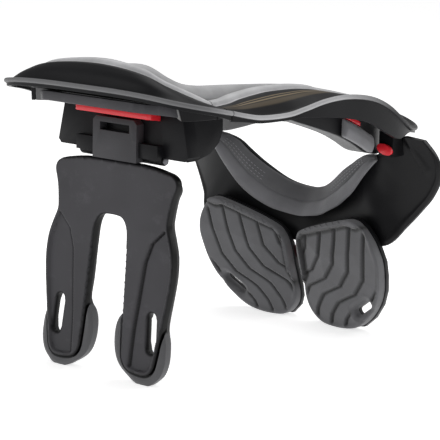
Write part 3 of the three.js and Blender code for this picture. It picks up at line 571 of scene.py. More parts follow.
def moulded_grain():
    """Fine moulded texture, a slow change of tone, and faint rubbed streaks."""
    found = bpy.data.node_groups.get("moulded_grain")
    if found:
        return found
    tree, source, sink = group(
        "moulded_grain",
        [("Vector", None), ("Grain Scale", 900.0), ("Tone Scale", 14.0)],
        ["Height", "Tone", "Rub"],
    )
    vector = source.outputs["Vector"]
    grain = noise_node(tree, vector, source.outputs["Grain Scale"], 4.0, 0.6)
    tone = noise_node(tree, vector, source.outputs["Tone Scale"], 3.0, 0.5)
    stretch = tree.nodes.new("ShaderNodeMapping")
    stretch.inputs["Scale"].default_value = (60.0, 260.0, 90.0)
    tree.links.new(vector, stretch.inputs["Vector"])
    rub = map_range(tree, noise_node(tree, stretch.outputs[0], 1.0, 5.0, 0.7), 0.55, 0.75)
    tree.links.new(grain, sink.inputs["Height"])
    tree.links.new(map_range(tree, tone, 0.3, 0.7), sink.inputs["Tone"])
    tree.links.new(rub, sink.inputs["Rub"])
    return tree


def foam_cells():
    """The closed cells of moulded foam: pits, and a slow mottle of tone."""
    found = bpy.data.node_groups.get("foam_cells")
    if found:
        return found
    tree, source, sink = group(
        "foam_cells", [("Vector", None), ("Cell Scale", 1400.0), ("Tone Scale", 40.0)], ["Height", "Tone"]
    )
    cells = tree.nodes.new("ShaderNodeTexVoronoi")
    tree.links.new(source.outputs["Vector"], cells.inputs["Vector"])
    tree.links.new(source.outputs["Cell Scale"], cells.inputs["Scale"])
    fine = noise_node(tree, source.outputs["Vector"], 2600.0, 2.0, 0.5)
    height = math_node(tree, "ADD", cells.outputs["Distance"], math_node(tree, "MULTIPLY", fine, 0.5))
    tone = noise_node(tree, source.outputs["Vector"], source.outputs["Tone Scale"], 4.0, 0.6)
    tree.links.new(height, sink.inputs["Height"])
    tree.links.new(map_range(tree, tone, 0.32, 0.68), sink.inputs["Tone"])
    return tree


def start_material(name, pattern, **values):
    """A material with its pattern group on Object coordinates; returns the parts to wire up."""
    material = bpy.data.materials.new(name)
    material.use_nodes = True
    tree = material.node_tree
    shader = tree.nodes["Principled BSDF"]
    coordinates = tree.nodes.new("ShaderNodeTexCoord")
    node = tree.nodes.new("ShaderNodeGroup")
    node.node_tree = pattern
    tree.links.new(coordinates.outputs["Object"], node.inputs["Vector"])
    for label, value in values.items():
        node.inputs[label.replace("_", " ").title()].default_value = value
    return material, tree, shader, node


def mix_colour(tree, factor, first, second):
    """A blend of two colours or sockets."""
    node = tree.nodes.new("ShaderNodeMix")
    node.data_type = "RGBA"
    tree.links.new(factor, node.inputs["Factor"])
    for socket, value in ((node.inputs[6], first), (node.inputs[7], second)):
        if isinstance(value, bpy.types.NodeSocket):
            tree.links.new(value, socket)
        else:
            socket.default_value = (*value[:3], 1.0)
    return node.outputs[2]


def bump(tree, shader, height, strength, distance):
    """Feeds a height to the shader's normal."""
    node = tree.nodes.new("ShaderNodeBump")
    node.inputs["Strength"].default_value = strength
    node.inputs["Distance"].default_value = distance
    tree.links.new(height, node.inputs["Height"])
    tree.links.new(node.outputs["Normal"], shader.inputs["Normal"])


def attribute_value(tree, name):
    """The value of a float attribute that the mesh carries."""
    node = tree.nodes.new("ShaderNodeAttribute")
    node.attribute_name = name
    return node.outputs["Fac"]

def lighter(colour, gain):
    """The colour with its brightness multiplied."""
    return tuple(min(1.0, c * gain) for c in colour[:3])


def plastic(name, colour, rough=(0.3, 0.42), grain_scale=900.0, depth=0.00012, gain=1.5, coat=0.0,
            specular=0.2):
    """Satin moulded plastic: grained, with slow changes of tone and a few rubbed streaks."""
    found = bpy.data.materials.get(name)
    if found:
        return found
    material, tree, shader, grain = start_material(name, moulded_grain(), grain_scale=grain_scale)
    toned = mix_colour(tree, grain.outputs["Tone"], lighter(colour, 0.85), lighter(colour, gain))
    rub = math_node(tree, "MULTIPLY", grain.outputs["Rub"], 0.25)
    rubbed = mix_colour(tree, rub, toned, lighter(colour, 2.6))
    # Painted shade: the colour darkens where the mesh's shade attribute is set, in creases, seams and at edges.
    dark = mix_colour(tree, attribute_value(tree, "groove_and_painted_shade"), rubbed, lighter(colour, 0.05))
    tree.links.new(dark, shader.inputs["Base Color"])
    rough_tone = map_range(tree, grain.outputs["Tone"], 0.0, 1.0, rough[0], rough[1])
    rough_value = math_node(tree, "ADD", rough_tone, math_node(tree, "MULTIPLY", grain.outputs["Rub"], 0.08))
    tree.links.new(rough_value, shader.inputs["Roughness"])
    shader.inputs["Specular IOR Level"].default_value = specular
    shader.inputs["Coat Weight"].default_value = coat
    shader.inputs["Coat Roughness"].default_value = 0.2
    bump(tree, shader, grain.outputs["Height"], 0.35, depth)
    return material


def foam(name, colour, rough=0.78, sheen=0.25, cell_scale=1400.0, depth=0.0002):
    """Moulded closed-cell foam with a soft, powdery surface."""
    found = bpy.data.materials.get(name)
    if found:
        return found
    material, tree, shader, cells = start_material(name, foam_cells(), cell_scale=cell_scale)
    toned = mix_colour(tree, cells.outputs["Tone"], lighter(colour, 0.82), lighter(colour, 1.2))
    # Painted shade: the foam darkens where the mesh's shade attribute is set, in valleys, seams and hollows.
    dark = mix_colour(tree, attribute_value(tree, "groove_and_painted_shade"), toned, lighter(colour, 0.06))
    tree.links.new(dark, shader.inputs["Base Color"])
    tree.links.new(
        map_range(tree, cells.outputs["Tone"], 0.0, 1.0, rough - 0.08, rough + 0.08), shader.inputs["Roughness"]
    )
    shader.inputs["Sheen Weight"].default_value = sheen
    shader.inputs["Sheen Roughness"].default_value = 0.5
    bump(tree, shader, cells.outputs["Height"], 0.4, depth)
    return material


def steel(name):
    """Turned pin stock."""
    found = bpy.data.materials.get(name)
    if found:
        return found
    material, tree, shader, grain = start_material(name, moulded_grain(), grain_scale=2600.0)
    tree.links.new(
        mix_colour(tree, grain.outputs["Tone"], (0.10, 0.10, 0.11), (0.16, 0.16, 0.17)), shader.inputs["Base Color"]
    )
    tree.links.new(map_range(tree, grain.outputs["Height"], 0.3, 0.7, 0.25, 0.42), shader.inputs["Roughness"])
    shader.inputs["Metallic"].default_value = 1.0
    bump(tree, shader, grain.outputs["Height"], 0.2, 0.00005)
    return material


def band(tree, value, low, high, soft):
    """1 between low and high, falling to 0 over soft on each side."""
    rise = map_range(tree, value, low - soft, low)
    fall = map_range(tree, value, high, high + soft, 1.0, 0.0)
    return math_node(tree, "MULTIPLY", rise, fall)


def deck_plastic(name, colour, stripe, bead_highlight_colour):
    """The decks' black plastic, with thin stripes along both side arms and a painted highlight on the rolled bead."""
    found = bpy.data.materials.get(name)
    if found:
        return found
    material, tree, shader, grain = start_material(name, moulded_grain(), grain_scale=1000.0)
    across = tree.nodes.new("ShaderNodeAttribute")
    across.attribute_name = "across"
    along = tree.nodes.new("ShaderNodeAttribute")
    along.attribute_name = "along"
    share, place_y = across.outputs["Fac"], along.outputs["Fac"]
    base = mix_colour(tree, grain.outputs["Tone"], lighter(colour, 0.85), lighter(colour, 1.5))
    arm = band(tree, place_y, 72.0, 150.0, 26.0)
    thin = math_node(tree, "ADD", band(tree, share, 0.70, 0.74, 0.02), band(tree, share, 0.82, 0.84, 0.02))
    wide = math_node(tree, "MULTIPLY", band(tree, share, 0.50, 0.62, 0.06), 0.35)
    stripes = math_node(tree, "MULTIPLY", math_node(tree, "ADD", thin, wide), math_node(tree, "MULTIPLY", arm, 0.75))
    striped = mix_colour(tree, stripes, base, stripe)
    # Painted highlight: the rolled bead is painted pale, weaker at the rear centre and fading out toward the front.
    bead_highlight_mask = band(tree, share, -0.30, 0.03, 0.02)
    highlight_fade = map_range(tree, place_y, 150.0, 215.0, 1.0, 0.06)
    rear = map_range(tree, place_y, 30.0, 75.0, 0.35, 1.0)
    bead_highlight = math_node(tree, "MULTIPLY", bead_highlight_mask, math_node(tree, "MULTIPLY", highlight_fade, rear))
    tree.links.new(mix_colour(tree, bead_highlight, striped, bead_highlight_colour), shader.inputs["Base Color"])
    shader.inputs["Specular IOR Level"].default_value = 0.14
    tree.links.new(map_range(tree, grain.outputs["Tone"], 0.0, 1.0, 0.36, 0.48), shader.inputs["Roughness"])
    bump(tree, shader, grain.outputs["Height"], 0.35, 0.00012)
    return material


def lining_foam(name, upper, lower):
    """The neck lining: a darker inner band above a paler lower roll."""
    found = bpy.data.materials.get(name)
    if found:
        return found
    material, tree, shader, cells = start_material(name, foam_cells(), cell_scale=1300.0)
    across = tree.nodes.new("ShaderNodeAttribute")
    across.attribute_name = "across"
    split = map_range(tree, across.outputs["Fac"], 0.46, 0.56)
    toned = mix_colour(tree, split, upper, lower)
    dark = mix_colour(tree, math_node(tree, "MULTIPLY", cells.outputs["Tone"], 0.3), toned, lighter(upper, 0.6))
    tree.links.new(dark, shader.inputs["Base Color"])
    tree.links.new(map_range(tree, cells.outputs["Tone"], 0.0, 1.0, 0.66, 0.82), shader.inputs["Roughness"])
    shader.inputs["Sheen Weight"].default_value = 0.25
    bump(tree, shader, cells.outputs["Height"], 0.4, 0.0002)
    return material


def set_attribute(piece, name, values):
    """Stores one number for each of the piece's points."""
    layer = piece.data.attributes.new(name, "FLOAT", "POINT")
    layer.data.foreach_set("value", np.array(values, np.float32).ravel())


# Sections of the ring
def station(row, shift):
    """Bead and crest of one ring station, with the unit vector from one to the other."""
    bead = np.array([row[0] * RING_HALF, row[1] * COLLAR_DEPTH + shift, row[2] * CREST_HEIGHT])
    crest = np.array([row[3] * RING_HALF, row[4] * COLLAR_DEPTH + shift, row[5] * CREST_HEIGHT])
    across = crest[:2] - bead[:2]
    width = float(np.linalg.norm(across))
    return bead, crest, width, across / width


def shell_section(bead, crest, width, skirt, foot):
    """The deck's section: bead, outer face, crest and inner wall, as (h, z) and the share across."""
    inner = width + CREST_LAND
    b, c = bead[2], crest[2]
    middle = b + (c - b) * 0.6 + 1
    points = [
        (0, b - skirt), (0, b - BEAD), (-BEAD, b - BEAD / 2), (-BEAD, b + BEAD / 2), (-BEAD / 4, b + BEAD),
        (SHELL, b + BEAD / 2), (width * 0.55, middle), (width, c), (inner, c), (inner, foot),
        (inner - SHELL, foot), (inner - SHELL, c - SHELL), (width * 0.55, middle - SHELL),
        (SHELL, b - BEAD), (SHELL, b - skirt),
    ]
    radii = [0.4, 0.5, 1.0, 1.0, 1.2, 2.2, 9.0, 2.4, 1.2, 0.5, 0.5, 1.2, 6.0, 1.0, 0.4]
    return points, radii


def pad_section(crest, width, foot):
    """The foam pad's section inside the crest, with a moulded groove beside the deck."""
    start = width + CREST_LAND + FIT
    end = start + PAD_WIDTH
    top = crest[2] + PAD_CROWN
    points = [
        (start, foot), (start, crest[2] - 0.4), (start + 1.6, crest[2] - 0.6), (start + PAD_WIDTH * 0.16, top - 0.4),
        (start + PAD_WIDTH * 0.42, top), (start + PAD_WIDTH * 0.72, top - PAD_CROWN * 0.9),
        (end - PAD_WIDTH * 0.06, top - PAD_CROWN * 2.4), (end, (top + foot) / 2 - 1),
        (end - PAD_WIDTH * 0.08, foot + 1.6), (end - PAD_WIDTH * 0.25, foot),
    ]
    radii = [0.4, 0.8, 0.7, 2.0, 5.0, 5.0, 5.0, 6.0, 2.5, 1.5]
    return points, radii


def base_top(y):
    """Height of the base plate's top at a place along the collar."""
    return BASE_HEIGHT + BASE_SLOPE * (y - BASE_REAR_Y)


def rear_foot(row):
    """Height at which the rear deck's wall and pad end."""
    over_base = abs(row[3]) * RING_HALF < BASE_HALF + BASE_OVERHANG
    if over_base:
        return base_top(row[4] * COLLAR_DEPTH) + FIT
    return base_top(FRAME_REAR_Y) - BASE_THICK + 2 * FIT


def ring_body(name, rows, shift, section):
    """A loft round the ring, with attributes across and along.

    Along is the station's Y. Across is a share of the width, and falls below zero under the bead.
    """
    rings, across, along, shadow = [], [], [], []
    for row in rows:
        bead, crest, width, direction = station(row, shift)
        points = rounded(*section(row, bead, crest, width))
        flat = bead[:2] + points[:, :1] * direction
        rings.append(place(np.column_stack([flat, points[:, 1]])))
        on_skirt = points[:, 0] < SHELL / 2
        below = on_skirt * np.maximum(bead[2] - BEAD / 2 - points[:, 1], 0) / BEAD
        across.append(points[:, 0] / width - below)
        along.append(np.full(len(points), bead[1]))
        # Painted shade on the ring pads: darker toward the neck and near the foot.
        inward = np.clip((points[:, 0] - width - CREST_LAND - 3) / PAD_WIDTH, 0, 1) * INNER_SHADOW
        low = np.clip((crest[2] - 3 - points[:, 1]) / 5, 0, 1) * FOOT_SHADOW
        shadow.append(np.maximum(inward, low))
    piece = loft(name, rings)
    set_attribute(piece, "groove_and_painted_shade", shadow)
    set_attribute(piece, "across", across)
    set_attribute(piece, "along", along)
    return piece


def ring_rows(table, steps, reverse=False):
    """A table's rows mirrored to both sides and smoothed."""
    rows = table[::-1] if reverse else table
    return smooth_rows(mirror_rows(rows, [0, 3]), steps)


def shoulder_lug(bm, low, high, y_low, y_high):
    """A hinge lug on the ring's left shoulder: a barrel, and the tab that joins it to the deck."""
    x, y = -1.035 * RING_HALF, SPLIT_Y
    ring = bmesh.ops.create_cone(
        bm, cap_ends=True, segments=32, radius1=4.0 * MM, radius2=4.0 * MM, depth=(high - low) * MM
    )["verts"]
    centre = Vector(place([x, y, (low + high) / 2]))
    bmesh.ops.translate(bm, verts=ring, vec=centre)
    inner = x + 0.09 * RING_HALF
    box_mesh(bm, place([x, y_low, low]), place([inner, y_high, high]))
    box_mesh(bm, place([inner - 4, y_low, 0.867 * CREST_HEIGHT]), place([inner, y_high, high]))


def join_into(piece, bm):
    """Adds a bmesh's faces to a piece's mesh, with its edges rounded."""
    bmesh.ops.bevel(
        bm, geom=[e for e in bm.edges if e.calc_face_angle(0) > 0.7], offset=0.4 * MM, segments=2, affect="EDGES"
    )
    mesh = bpy.data.meshes.new("extra")
    bm.to_mesh(mesh)
    whole = bmesh.new()
    whole.from_mesh(piece.data)
    whole.from_mesh(mesh)
    whole.to_mesh(piece.data)
    whole.free()
    bm.free()
    bpy.data.meshes.remove(mesh)


# The stage, camera first
class BRACE_OT_stage(bpy.types.Operator):
    """Make the camera, the pale floor and the soft studio light"""

    bl_idname = "brace.stage"
    bl_label = "Stage"

    def execute(self, context):
        camera = bpy.data.objects.new("camera", bpy.data.cameras.new("camera"))
        context.scene.collection.objects.link(camera)
        camera.data.lens = CAMERA_LENS
        camera.data.sensor_width = 36.0
        camera.data.clip_start = 0.01
        camera.data.clip_end = 50.0
        right, up = CAMERA_RIGHT.normalized(), CAMERA_UP.normalized()
        back = right.cross(up)
        turn = Matrix((right, up, back)).transposed()
        camera.matrix_world = Matrix.Translation(CAMERA_AT) @ turn.to_4x4()
        context.scene.camera = camera
        self.sweep(context)
        self.lights(context)
        return {"FINISHED"}

    def sweep(self, context):
        """A pale floor, wide enough to fill every view."""
        bm = bmesh.new()
        bmesh.ops.create_circle(bm, cap_ends=True, segments=96, radius=14.0)
        mesh = bpy.data.meshes.new("floor")
        bm.to_mesh(mesh)
        bm.free()
        floor = new_object("floor", mesh)
        material = bpy.data.materials.new("pale_floor")
        material.use_nodes = True
        shader = material.node_tree.nodes["Principled BSDF"]
        shader.inputs["Base Color"].default_value = (0.9, 0.9, 0.9, 1.0)
        shader.inputs["Roughness"].default_value = 0.9
        shader.inputs["Specular IOR Level"].default_value = 0.1
        shader.inputs["Emission Color"].default_value = (1.0, 1.0, 1.0, 1.0)
        shader.inputs["Emission Strength"].default_value = sizes().floor_glow
        mesh.materials.append(material)

    def lights(self, context):
        world = bpy.data.worlds.new("studio")
        context.scene.world = world
        world.use_nodes = True
        background = world.node_tree.nodes["Background"]
        background.inputs["Color"].default_value = (1.0, 1.0, 1.0, 1.0)
        background.inputs["Strength"].default_value = sizes().room_light
        context.scene.view_settings.view_transform = "Standard"
        lamps = (
            ("overhead", (-0.1, 0.25, 1.4), 1.2, 9.0),
            ("rear_softbox", (-0.9, -1.5, 0.9), 0.8, 5.0),
            ("front_rim", (0.9, 1.2, 0.8), 0.7, 6.0),
        )
        for name, place_at, size, power in lamps:
            data = bpy.data.lights.new(name, "AREA")
            data.size = size
            data.energy = power
            lamp = bpy.data.objects.new(name, data)
            context.scene.collection.objects.link(lamp)
            lamp.location = place_at
            aim = Vector((0, 0, 0.12)) - lamp.location
            lamp.rotation_euler = aim.to_track_quat("-Z", "Y").to_euler()


# The ring's decks and pads
class BRACE_OT_decks(bpy.types.Operator):
    """Make the two halves of the collar's hard deck, with their shoulder lugs"""

    bl_idname = "brace.decks"
    bl_label = "Decks"

    def execute(self, context):
        colour = colours()
        material = deck_plastic("deck_plastic", colour.black, colour.stripe, colour.bead)
        steps = sizes().ring_steps
        split = 0.889 * CREST_HEIGHT

        def rear(row, bead, crest, width):
            foot = min(rear_foot(row), crest[2] - SHELL - 1)
            return shell_section(bead, crest, width, row[6] * SKIRT_DROP, foot)

        def front(row, bead, crest, width):
            return shell_section(bead, crest, width, row[6] * SKIRT_DROP, crest[2] - row[7] * WALL_DROP)

        jobs = (
            ("rear_deck_shell", "rear_deck", "rear_collar", ring_rows(REAR_STATIONS, steps), 0.0, rear,
             (split + FIT, split + FIT + 4, SPLIT_Y - 8, SPLIT_Y - 1)),
            ("front_deck_shell", "front_deck", "front_collar", ring_rows(FRONT_STATIONS, steps, True), SPLIT_GAP,
             front, (split - 4, split, SPLIT_Y + 1.5, SPLIT_Y + 8)),
        )
        for name, node, body, rows, shift, section, lug in jobs:
            piece = ring_body(name, rows, shift, section)
            bm = bmesh.new()
            shoulder_lug(bm, *lug)
            join_into(piece, bm)
            shade(piece, 38)
            finish_piece(piece, body, material, [node])
        return {"FINISHED"}


class BRACE_OT_ring_pads(bpy.types.Operator):
    """Make the foam pads inside the two decks"""

    bl_idname = "brace.ring_pads"
    bl_label = "Ring pads"

    def execute(self, context):
        material = foam("ring_foam", colours().ring_foam)
        steps = sizes().ring_steps

        def rear(row, bead, crest, width):
            return pad_section(crest, width, rear_foot(row))

        def front(row, bead, crest, width):
            return pad_section(crest, width, crest[2] - row[7] * WALL_DROP)

        jobs = (
            ("rear_ring_pad", "rear_deck_pad", "rear_collar", ring_rows(REAR_STATIONS, steps), 0.0, rear),
            ("front_ring_pad", "front_deck_pad", "front_collar", ring_rows(FRONT_STATIONS, steps, True), SPLIT_GAP,
             front),
        )
        for name, node, body, rows, shift, section in jobs:
            piece = ring_body(name, rows, shift, section)
            shade(piece, 40)
            finish_piece(piece, body, material, [node])
        return {"FINISHED"}


# Rear plates, housing and pins
class BRACE_OT_rear_housing(bpy.types.Operator):
    """Dress the base plate, the red plate, the housing and the hinge pins"""

    bl_idname = "brace.rear_housing"
    bl_label = "Rear housing"

    def execute(self, context):
        colour = colours()
        black = plastic("housing_plastic", colour.black, (0.34, 0.48), 800.0, specular=0.14)
        charcoal = plastic("base_plastic", colour.charcoal, (0.4, 0.52), 700.0)
        red = plastic("red_plastic", colour.red, (0.22, 0.32), 1200.0, 0.00004, 1.15, 0.3, 0.4)
        metal = steel("pin_steel")
        jobs = (
            ("base_plate_moulding", "rear_base_plate", 1.2, charcoal, "charcoal_plastic"),
            ("red_slide_plate", "lock_plate", 0.6, red, "red_plastic"),
            ("housing_moulding", "rear_frame", 0.8, black, "black_plastic"),
            ("strut_hinge_pin", "strut_pin", 0.15, metal, "steel"),
            ("shoulder_hinge_pin", "shoulder_pin", 0.15, metal, "steel"),
        )
        for name, node, edge, material, slot in jobs:
            finish_piece(cad_copy(name, node, edge), "rear_collar", material, [node])
        return {"FINISHED"}


# Back strut
def strut_outline():
    """The smooth outline of the strut's plate."""
    return smooth_outline(whole_outline(STRUT_OUTLINE, STRUT_HALF, STRUT_TOP), 4)


class BRACE_OT_strut(bpy.types.Operator):
    """Make the strut's clip, its forked plate with a raised border, and the foam behind it"""

    bl_idname = "brace.strut"
    bl_label = "Back strut"

    def execute(self, context):
        colour = colours()
        plate_finish = plastic("strut_plastic", colour.charcoal, (0.42, 0.55), 750.0, 0.00014, 1.2)
        # Painted shade: black plastic for the plate's side walls, which are the plate's own plastic in shadow.
        wall_shade_finish = plastic("strut_wall_shade_plastic", colour.black, (0.35, 0.5), 750.0)
        clip_finish = plastic("clip_plastic", lighter(colour.charcoal, 0.7), (0.35, 0.5), 750.0)
        pad_finish = foam("strut_foam", colour.dark_foam)
        clip = cad_copy("clip_moulding", "strut_clip", 1.1, 3)
        finish_piece(clip, "back_strut", clip_finish, ["strut_clip"])
        outline = strut_outline()
        slot = slot_outline(STRUT_SLOT)
        slots = [slot, slot * (-1, 1)]
        spacing = sizes().relief_spacing
        plate = relief(
            "strut_moulding", outline, slots, sizes().rib_spacing, 1.6, self.plate_surface, groove_and_painted_shade=self.plate_painted_shade
        )
        shade(plate, 55)
        finish_piece(plate, "back_strut", [plate_finish, wall_shade_finish], ["strut_plate"])
        self.paint_wall_shade(plate)
        outline = smooth_outline(whole_outline(FOAM_OUTLINE, STRUT_HALF, STRUT_TOP), 3)
        slot = slot_outline(STRUT_SLOT, FIT)
        creases = [offset_outline(strut_outline(), grow) for grow in (0.8, 1.8)]
        pad = relief(
            "strut_foam_pad", outline, [slot, slot * (-1, 1)], spacing, 3.0, self.foam_surface, creases, self.foam_seam_painted_shade
        )
        shade(pad, 50)
        finish_piece(pad, "back_strut", pad_finish, ["strut_pad"])
        return {"FINISHED"}

    def plate_surface(self, flat, rim, side):
        """Rear face with rounded edges, a shallow dish and each leg's stepped outer panel."""
        x, z = flat[:, 0], flat[:, 1]
        face = STRUT_FACE_Y + STRUT_LEAN * z
        if side:
            return np.column_stack([x, face + STRUT_THICK, z])
        round_off = 1.5 * (1 - np.sqrt(np.clip(1 - (1 - np.clip(rim / 1.6, 0, 1)) ** 2, 0, 1)))
        boundary = self.panel_edge(z)
        panel = 2.2 / (1 + np.exp(-(np.abs(x) - boundary) / 0.4))
        border = np.clip((distance_to(flat, [strut_outline()]) - 2.6) / 0.9, 0, 1)
        groove_and_painted_shade = 0.8 * np.exp(-((np.abs(x) - boundary - 1.0) / 0.8) ** 2) * (z < 0.76 * STRUT_TOP)
        dish = 0.5 * np.clip(1 - ((z - 0.84 * STRUT_TOP) / 22) ** 2, 0, 1) * np.clip(rim / 12, 0, 1)
        return np.column_stack([x, face + round_off + border * (panel + groove_and_painted_shade) + dish, z])

    def panel_edge(self, z):
        """Distance from the middle to a leg's recessed panel, at each height."""
        step = np.array(LEG_STEP) * (STRUT_HALF, STRUT_TOP)
        order = np.argsort(step[:, 1])
        return np.interp(z, step[order, 1], step[order, 0])

    def plate_painted_shade(self, flat, rim):
        """Painted shade: dark along the foot of each panel's step and round the plate's edge."""
        x, z = np.abs(flat[:, 0]), flat[:, 1]
        past = x - self.panel_edge(z)
        crease = np.clip(1.6 - np.abs(past - 0.9) / 0.9, 0, 1) * (z < 0.76 * STRUT_TOP) * np.clip((rim - 2.4) / 1.0, 0, 1)
        return np.maximum(crease, np.clip(1.7 - rim / 0.8, 0, 1)) * 0.9

    def foam_surface(self, flat, rim, side):
        """A soft tray of foam: its back face is drawn in, its front lip lies behind the plate."""
        x, z = flat[:, 0], flat[:, 1]
        face = STRUT_FACE_Y + STRUT_LEAN * z
        soft = 1 - np.sqrt(np.clip(1 - (1 - np.clip(rim / 5.0, 0, 1)) ** 2, 0, 1))
        if side:
            return np.column_stack([x, face + STRUT_THICK + FIT + FOAM_THICK - 4.0 * soft, z])
        lip = np.clip(1 - rim / 3.0, 0, 1)
        seat = STRUT_THICK + FIT
        plate = strut_outline()
        past = distance_to(flat, [plate]) * np.where(inside(flat, plate), -1, 1)
        rise = np.clip((past - 0.8) / 1.0, 0, 1)
        proud = seat + (1.6 + 1.6 * lip - seat) * rise
        return np.column_stack([x, face + proud, np.maximum(z, 0.0)])

    def foam_seam_painted_shade(self, flat, rim):
        """Painted shade: the seam beside the plate is dark."""
        plate = strut_outline()
        past = distance_to(flat, [plate]) * np.where(inside(flat, plate), -1, 1)
        return np.clip((1.6 - past) / 1.0, 0, 0.9)

    def paint_wall_shade(self, plate):
        """The plate's side walls, its only faces with four corners, take black plastic: painted shade on the walls."""
        for polygon in plate.data.polygons:
            if len(polygon.vertices) == 4:
                polygon.material_index = 1


# Lower front frame and neck lining
class BRACE_OT_front_frame(bpy.types.Operator):
    """Make the lower front frame, with its crowned shoulders and the blocks that carry the ring"""

    bl_idname = "brace.front_frame"
    bl_label = "Front frame"

    def execute(self, context):
        rows = smooth_rows(mirror_rows(FRAME_STATIONS, [0, 3]), sizes().ring_steps)
        scale = np.array([FRONT_HALF, COLLAR_DEPTH, CREST_HEIGHT])
        shares = np.linspace(0, 1, 41)
        ends = [self.frame_point(*end) for end in (RIDGE_START, RIDGE_END)]
        rings = []
        for row in rows:
            top, outer = row[:3] * scale, row[3:] * scale
            line = top + shares[:, None] * (outer - top)
            wing = np.clip((abs(outer[0]) - 78) / 30, 0, 1)
            crown = 1.6 * wing * np.sin(np.pi * shares) ** 0.8
            hem = 0.9 * np.exp(-((shares - 0.955) / 0.025) ** 2)
            near, far = line.copy(), line[::-1].copy()
            ridge = RIDGE_HEIGHT * self.on_ridge(line, *ends)
            near[:, 1] -= crown + ridge + hem * np.clip((abs(outer[0]) - 60) / 20, 0, 1)
            near[0, 1] += 0.8
            near[-1, 1] += 0.9
            far[:, 1] += FRAME_SHEET
            far[0, 1] -= 0.9
            far[-1, 1] -= 0.8
            rings.append(place(np.vstack([near, far])))
        piece = loft("front_frame_moulding", rings)
        bm = bmesh.new()
        for side in (1, -1):
            low = place([0.9 * RING_HALF, 0.821 * COLLAR_DEPTH, 0.652 * CREST_HEIGHT])
            high = place([1.03 * RING_HALF, 0.876 * COLLAR_DEPTH, 0.739 * CREST_HEIGHT])
            if side < 0:
                low[0], high[0] = -high[0], -low[0]
            box_mesh(bm, low, high)
        join_into(piece, bm)
        shade(piece, 35)
        material = plastic("frame_plastic", colours().black, (0.34, 0.46), 850.0)
        finish_piece(piece, "front_collar", material, ["lower_front_frame"])
        return {"FINISHED"}

    def frame_point(self, place_along, share):
        """A point of the frame's face, in millimetres."""
        rows = np.array(FRAME_STATIONS)
        row = np.array([np.interp(place_along, np.arange(len(rows)), rows[:, k]) for k in range(6)])
        scale = np.array([FRONT_HALF, COLLAR_DEPTH, CREST_HEIGHT])
        return (row[:3] * (1 - share) + row[3:] * share) * scale

    def on_ridge(self, points, start, end):
        """1 on the ridge's line, falling to 0 at its sides."""
        mirrored = np.abs(points[:, [0]])
        here = np.column_stack([mirrored, points[:, 1:]])
        run = end - start
        t = np.clip((here - start) @ run / (run @ run), 0, 1)
        gap = np.linalg.norm(here - start - t[:, None] * run, axis=1)
        return np.clip(2 * (1 - gap / RIDGE_HALF), 0, 1)


class BRACE_OT_lining(bpy.types.Operator):
    """Make the padded U of foam along the top of the front frame"""

    bl_idname = "brace.lining"
    bl_label = "Neck lining"

    def execute(self, context):
        rows = smooth_rows(mirror_rows(LINING_STATIONS, [0, 3]), sizes().ring_steps)
        scale = np.array([FRONT_HALF, COLLAR_DEPTH, CREST_HEIGHT])
        shares = np.linspace(0, 1, 33)
        bulge = 1.8 * np.sin(np.pi * np.clip(shares / 0.5, 0, 1)) ** 0.7
        bulge += 2.6 * np.sin(np.pi * np.clip((shares - 0.5) / 0.5, 0, 1)) ** 0.7
        rings, across = [], []
        last = len(rows) - 1
        for i, row in enumerate(rows):
            top, low = row[:3] * scale, row[3:] * scale
            taper = math.sqrt(max(0.0, min(1.0, 5.0 * min(i, last - i) / last + 0.08)))
            line = top + shares[:, None] * (low - top)
            line[:, 1] -= bulge * taper
            back = [low + (0, 2.4, 0), top + (0, 2.4, 0)]
            rings.append(place(np.vstack([line, back])))
            across.append([*shares, 1.0, 0.0])
        piece = loft("neck_lining_roll", rings)
        set_attribute(piece, "across", across)
        shade(piece, 60)
        colour = colours()
        material = lining_foam("lining_foam", lighter(colour.lining, 0.62), colour.lining)
        finish_piece(piece, "front_collar", material, ["neck_lining"])
        return {"FINISHED"}


